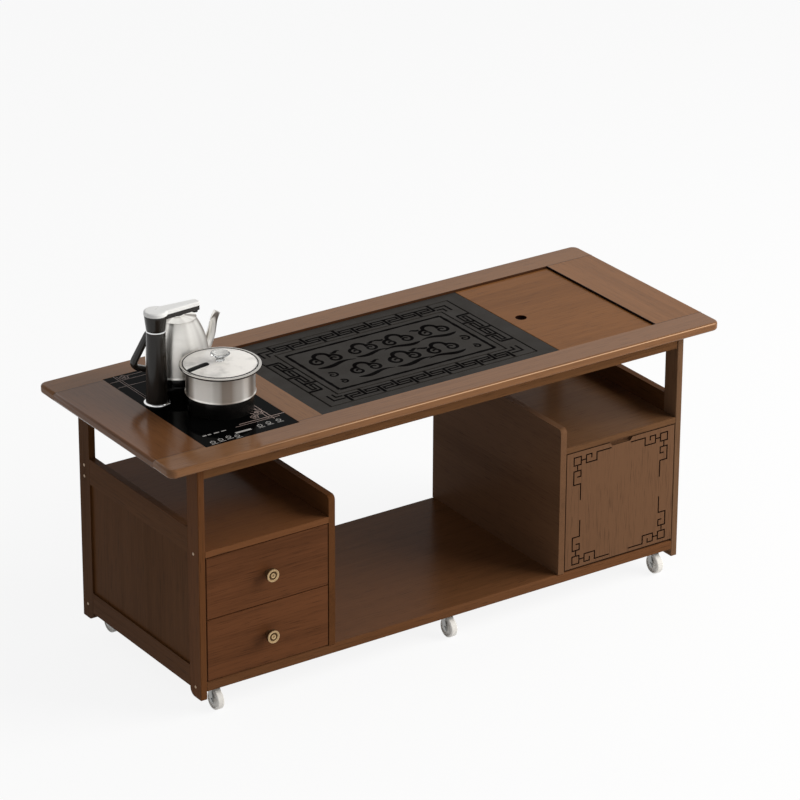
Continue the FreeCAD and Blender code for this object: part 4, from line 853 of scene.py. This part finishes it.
def tube(name, spots, radii, steps=32):
    """A bent tube in the plane of X and Z, along a smooth curve through its spots."""
    track = bpy.data.curves.new(name, "CURVE")
    track.dimensions = "3D"
    track.resolution_u = 24
    run = track.splines.new("BEZIER")
    run.bezier_points.add(len(spots) - 1)
    for point, spot in zip(run.bezier_points, spots):
        point.co = spot
        point.handle_left_type = point.handle_right_type = "AUTO"
    carrier = bpy.data.objects.new(name, track)
    scene.collection.objects.link(carrier)
    bpy.context.view_layer.update()
    centres = [vert.co.copy() for vert in bpy.data.meshes.new_from_object(carrier).vertices]
    bpy.data.objects.remove(carrier)
    mesh = bpy.data.meshes.new(name)
    form = bmesh.new()
    rings = []
    for index, centre in enumerate(centres):
        onward = centres[min(index + 1, len(centres) - 1)] - centres[max(index - 1, 0)]
        lift = onward.normalized().cross(Vector((0, 1, 0)))
        share = index / (len(centres) - 1) * (len(radii) - 1)
        part = min(int(share), len(radii) - 2)
        radius = radii[part] + (radii[part + 1] - radii[part]) * (share - part)
        ring = []
        for step in range(steps):
            turn = math.tau * step / steps
            spot = centre + Vector((0, radius * math.cos(turn), 0)) + lift * radius * math.sin(turn)
            ring.append(form.verts.new(spot))
        rings.append(ring)
    for near, far in zip(rings, rings[1:]):
        for step in range(steps):
            after = (step + 1) % steps
            form.faces.new((near[step], far[step], far[after], near[after]))
    bmesh.ops.recalc_face_normals(form, faces=form.faces)
    form.to_mesh(mesh)
    form.free()
    smooth(mesh, 60)
    return mesh


spout_spots = [
    Vector((kettle_axis.x + reach * mm, kettle_axis.y, kettle_base + rise * mm))
    for reach, rise in ((48, 20), (60, 31), (69, 42), (75, 54), (78.5, 67), (82.5, 82), (89, 95))
]
spout_radii = [radius * mm for radius in (16, 12.6, 10, 8.6, 7.6, 7, 6.6)]
spout_tube = tube("kettle_spout", spout_spots, spout_radii)
spout = add_piece("kettle_spout", spout_tube, "kettle", spout_steel)
spout_wall = spout.modifiers.new("wall", "SOLIDIFY")
spout_wall.thickness = 1.1 * mm
spout_wall.offset = -1
lid_profile = (
    (33.8, 0),
    (35.1, 0),
    (35.1, 4),
    (37.5, 4),
    (37.5, 5.3),
    (33, 6.4),
    (25, 7.5),
    (16, 8.3),
    (16, 9.9),
    (13, 9.9),
    (13, 7),
    (25, 6.3),
    (33.8, 4.2),
    (33.8, 0),
)
lid_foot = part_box("kettle_lid")[0][2]
cover = lathe("kettle_cover", drawn(lid_profile, lid_foot), kettle_axis)
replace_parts(add_piece("kettle_cover", cover, "kettle_cover", kettle_steel), "kettle_lid")


# Steriliser pot: a drawn steel pot with a flared lip on a black heater drum. Its domed glass lid has
# a rolled steel ring, a clear knob like a funnel and a black steam vent.
def clear_glass(name, colour, rough, clear, edge=None):
    """Clear glass or resin. An edge colour, a painted reflection, darkens it where it is seen along its
    wall.
    """
    finish = bpy.data.materials.new(name)
    tree = blank_tree(finish)
    place = shade(tree, "ShaderNodeTexCoord").outputs["Object"]
    wear = shade(tree, "ShaderNodeGroup", {"node_tree": wear_group}, Position=place, Grain=300)
    smudge = wear.outputs["Smudge"]
    streak = ramp(tree, smudge, 0.5, 0.72)
    body = tint(tree, streak, paint(*colour), paint(*(v * 0.86 for v in colour)))
    if edge:
        facing = shade(tree, "ShaderNodeLayerWeight", Blend=0.5).outputs["Facing"]
        body = tint(tree, ramp(tree, facing, 0.38, 0.85), body, paint(*edge))
    surface = shade(
        tree,
        "ShaderNodeBsdfPrincipled",
        Base_Color=body,
        Roughness=ramp(tree, smudge, 0, 1, rough, rough * 2),
        IOR=1.45,
        Transmission_Weight=clear,
    )
    shade(tree, "ShaderNodeOutputMaterial", Surface=surface.outputs[0])
    return finish


dress(heater_black, "pot_seat")
ease(1.5 * mm, "pot_seat")
pot_low, pot_high = (Vector(corner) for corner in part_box("pot_body"))
pot_axis = (pot_low + pot_high) / 2
pot_depth = (pot_high.z - pot_low.z) / mm
pot_profile = [(0, 0), (60, 0), (64.6, 0.2), (66.4, 0.9), (66.7, 1.8), (66.2, 2.7), (65, 3.4), (65, 5)]
pot_profile += [(65, pot_depth - 3.4), (65.6, pot_depth - 2), (67, pot_depth - 1.6)]
pot_profile += [(73.2, pot_depth - 1.6), (74, pot_depth - 0.8), (73.2, pot_depth)]
pot_profile += [(64.6, pot_depth), (63.8, pot_depth - 1), (63.8, 5), (62, 2), (58, 1.2), (0, 1.2)]
steel_pot = lathe("steel_pot", drawn(pot_profile, pot_low.z), pot_axis)
pot_steel = spun_steel("pot_steel", pot_axis, (163, 151, 140), 1.9, (6.4, 2.9, 0))
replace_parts(add_piece("steel_pot", steel_pot, "pot", pot_steel), "pot_body")

ring_low, ring_high = (Vector(corner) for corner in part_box("pot_lid_ring"))
# A black band under the lid's ring is painted shadow in the gap over the pot's lip.
painted_shadow_black = coating("painted_shadow_black", (20, 18, 17), 0.6, shine=0.1)
ring_shadow_profile = ((74.3, -1.3), (76.2, -0.9), (76.4, 0.7), (74.3, 0.7), (74.3, -1.3))
ring_shadow_band = lathe("ring_shadow_band", drawn(ring_shadow_profile, ring_low.z), pot_axis)
add_piece("ring_shadow_band", ring_shadow_band, "pot_cover", painted_shadow_black)
# A dark band under the pot's lip is painted shadow.
neck_shadow_steel = coating("neck_shadow_steel", (66, 60, 55), 0.45, metal=0.6)
neck_shadow_profile = ((65, -5.4), (66.2, -4.8), (70, -1.7), (65, -1.7), (65, -5.4))
pot_neck_shadow = lathe("pot_neck_shadow", drawn(neck_shadow_profile, pot_high.z), pot_axis)
add_piece("pot_neck_shadow", pot_neck_shadow, "pot", neck_shadow_steel)
ring_middle = (ring_low.z + ring_high.z) / 2
ring_turns = [math.tau * step / 24 for step in range(25)]
ring_profile = [(73.75 + 3.25 * math.cos(turn), 2.2 * math.sin(turn)) for turn in ring_turns]
ring_steel = coating("ring_steel", (182, 178, 172), 0.14, metal=1, tone=0.02, bump=0)
lid_ring = lathe("lid_ring", drawn(ring_profile, ring_middle), pot_axis)
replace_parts(add_piece("lid_ring", lid_ring, "pot_cover", ring_steel), "pot_lid_ring")

pane_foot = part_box("pot_lid_glass")[0][2]
rim, edge, dome, thick = 70.5 * mm, 72.5 * mm, 6 * mm, 3 * mm
dome_bend = (rim**2 + dome**2) / (2 * dome)


def dome_rise(reach):
    """How high the pane stands over its rim at a distance from its middle."""
    return dome - (dome_bend - math.sqrt(dome_bend**2 - reach**2))


reaches = [rim * step / 24 for step in range(25)]
pane_profile = [(reach, pane_foot + dome_rise(reach)) for reach in reaches]
pane_profile += [(edge, pane_foot), (edge, pane_foot + thick)]
pane_profile += [(reach, pane_foot + thick + dome_rise(reach)) for reach in reversed(reaches)]
# The pane is painted near-white and lets little through: painted reflection of the white sky.
lid_glass = clear_glass("lid_glass", (255, 250, 243), 0.03, 0.1)
lid_pane = lathe("lid_pane", pane_profile, pot_axis)
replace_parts(add_piece("lid_pane", lid_pane, "pot_cover", lid_glass), "pot_lid_glass")
# A black ring where the pane meets the steel ring is painted shadow.
pane_shadow_foot = pane_foot + thick + dome_rise(70 * mm) - 0.4 * mm
pane_shadow_profile = ((69.4, 0), (69.4, 1.2), (71, 1.2), (71, 0), (69.4, 0))
pane_shadow_band = lathe("pane_shadow_band", drawn(pane_shadow_profile, pane_shadow_foot), pot_axis)
add_piece("pane_shadow_band", pane_shadow_band, "pot_cover", painted_shadow_black)

funnel_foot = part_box("pot_lid_knob")[0][2]
funnel_profile = (
    (0, 0),
    (8, 0),
    (8, 1.4),
    (6.6, 2.4),
    (6.6, 3.8),
    (8.4, 5.6),
    (13, 9.4),
    (18, 12.8),
    (18.6, 13.8),
    (18, 14.6),
    (16.4, 14.8),
    (10, 10.4),
    (4, 7.6),
    (0, 7),
)
lid_knob = lathe("lid_knob", drawn(funnel_profile, funnel_foot), pot_axis)
smooth(lid_knob, 70)
# The knob's dark edges, where its wall is seen edge-on, are painted reflection.
knob_resin = clear_glass("knob_resin", (238, 239, 238), 0.03, 0.8, edge=(18, 17, 16))
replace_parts(add_piece("lid_knob", lid_knob, "pot_cover", knob_resin), "pot_lid_knob")

lid_vent = bpy.data.meshes.new("lid_vent")
vent_form = bmesh.new()
vent_start, vent_length, vent_half = 26 * mm, 44 * mm, 7 * mm
rows = []
for step in range(15):
    reach = vent_start + vent_length * step / 14
    half = vent_half * (1 - 0.4 * abs(step / 7 - 1) ** 20)
    top = pane_foot + thick + dome_rise(reach)
    row = []
    for side, lift in ((-1, -0.4 * mm), (-0.8, 1.2 * mm), (0.8, 1.2 * mm), (1, -0.4 * mm)):
        row.append(vent_form.verts.new((pot_axis.x - reach, pot_axis.y + side * half, top + lift)))
    rows.append(row)
for near, far in zip(rows, rows[1:]):
    for one, two in ((0, 1), (1, 2), (2, 3), (3, 0)):
        vent_form.faces.new((near[one], near[two], far[two], far[one]))
vent_form.faces.new(rows[0])
vent_form.faces.new(rows[-1])
bmesh.ops.recalc_face_normals(vent_form, faces=vent_form.faces)
vent_form.to_mesh(lid_vent)
vent_form.free()
smooth(lid_vent, 50)
vent_rubber = coating("vent_rubber", (12, 12, 12), 0.6, shine=0.1)
add_piece("lid_vent", lid_vent, "pot_cover", vent_rubber)


# Castors: pressed steel plates and forks with white nylon wheels. Each plate is screwed under the
# base, and its fork swivels on a kingpin.
castor_steel = coating("castor_steel", (158, 158, 156), 0.35, metal=0.8, tone=0.06)
white_nylon = coating("white_nylon", (220, 217, 211), 0.38, tone=0.03, bump=0.06)
dress(castor_steel, "castor_plates")
for row in ("front", "back"):
    for column in ("left", "middle", "right"):
        dress(castor_steel, f"castor_fork_{row}_{column}")
        dress(white_nylon, f"castor_wheel_{row}_{column}")


# Screw caps: small domed caps of pale brown plastic, pressed into the outer faces of the side frames
# over the screws that hold them.
cap_brown = coating("cap_brown", (188, 160, 130), 0.4, tone=0.04)
cap_radius, cap_height = 3, 1.05
cap_turns = [math.pi * step / 10 for step in range(1, 10)]
cap_sides = [(cap_radius * math.sin(turn), cap_height * math.cos(turn)) for turn in cap_turns]
cap_profile = drawn([(0, cap_height), *cap_sides, (0, -cap_height)])
cap_rows = ((-197, (331, 56)), (197, (359, 336, 64)))
side_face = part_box("front_left_stile")[0][0]
screw_caps = bpy.data.meshes.new("screw_caps")
cap_form = bmesh.new()
for y, heights in cap_rows:
    for height in heights:
        for way in (-1, 1):
            cap = lathe("screw_cap", cap_profile, Vector((0, 0, 0)), 20)
            spot = Matrix.Translation((-way * side_face, y * mm, height * mm))
            cap.transform(spot @ Matrix.Rotation(way * math.pi / 2, 4, "Y"))
            cap_form.from_mesh(cap)
            bpy.data.meshes.remove(cap)
cap_form.to_mesh(screw_caps)
cap_form.free()
smooth(screw_caps, 60)
add_piece("screw_caps", screw_caps, "table", cap_brown)
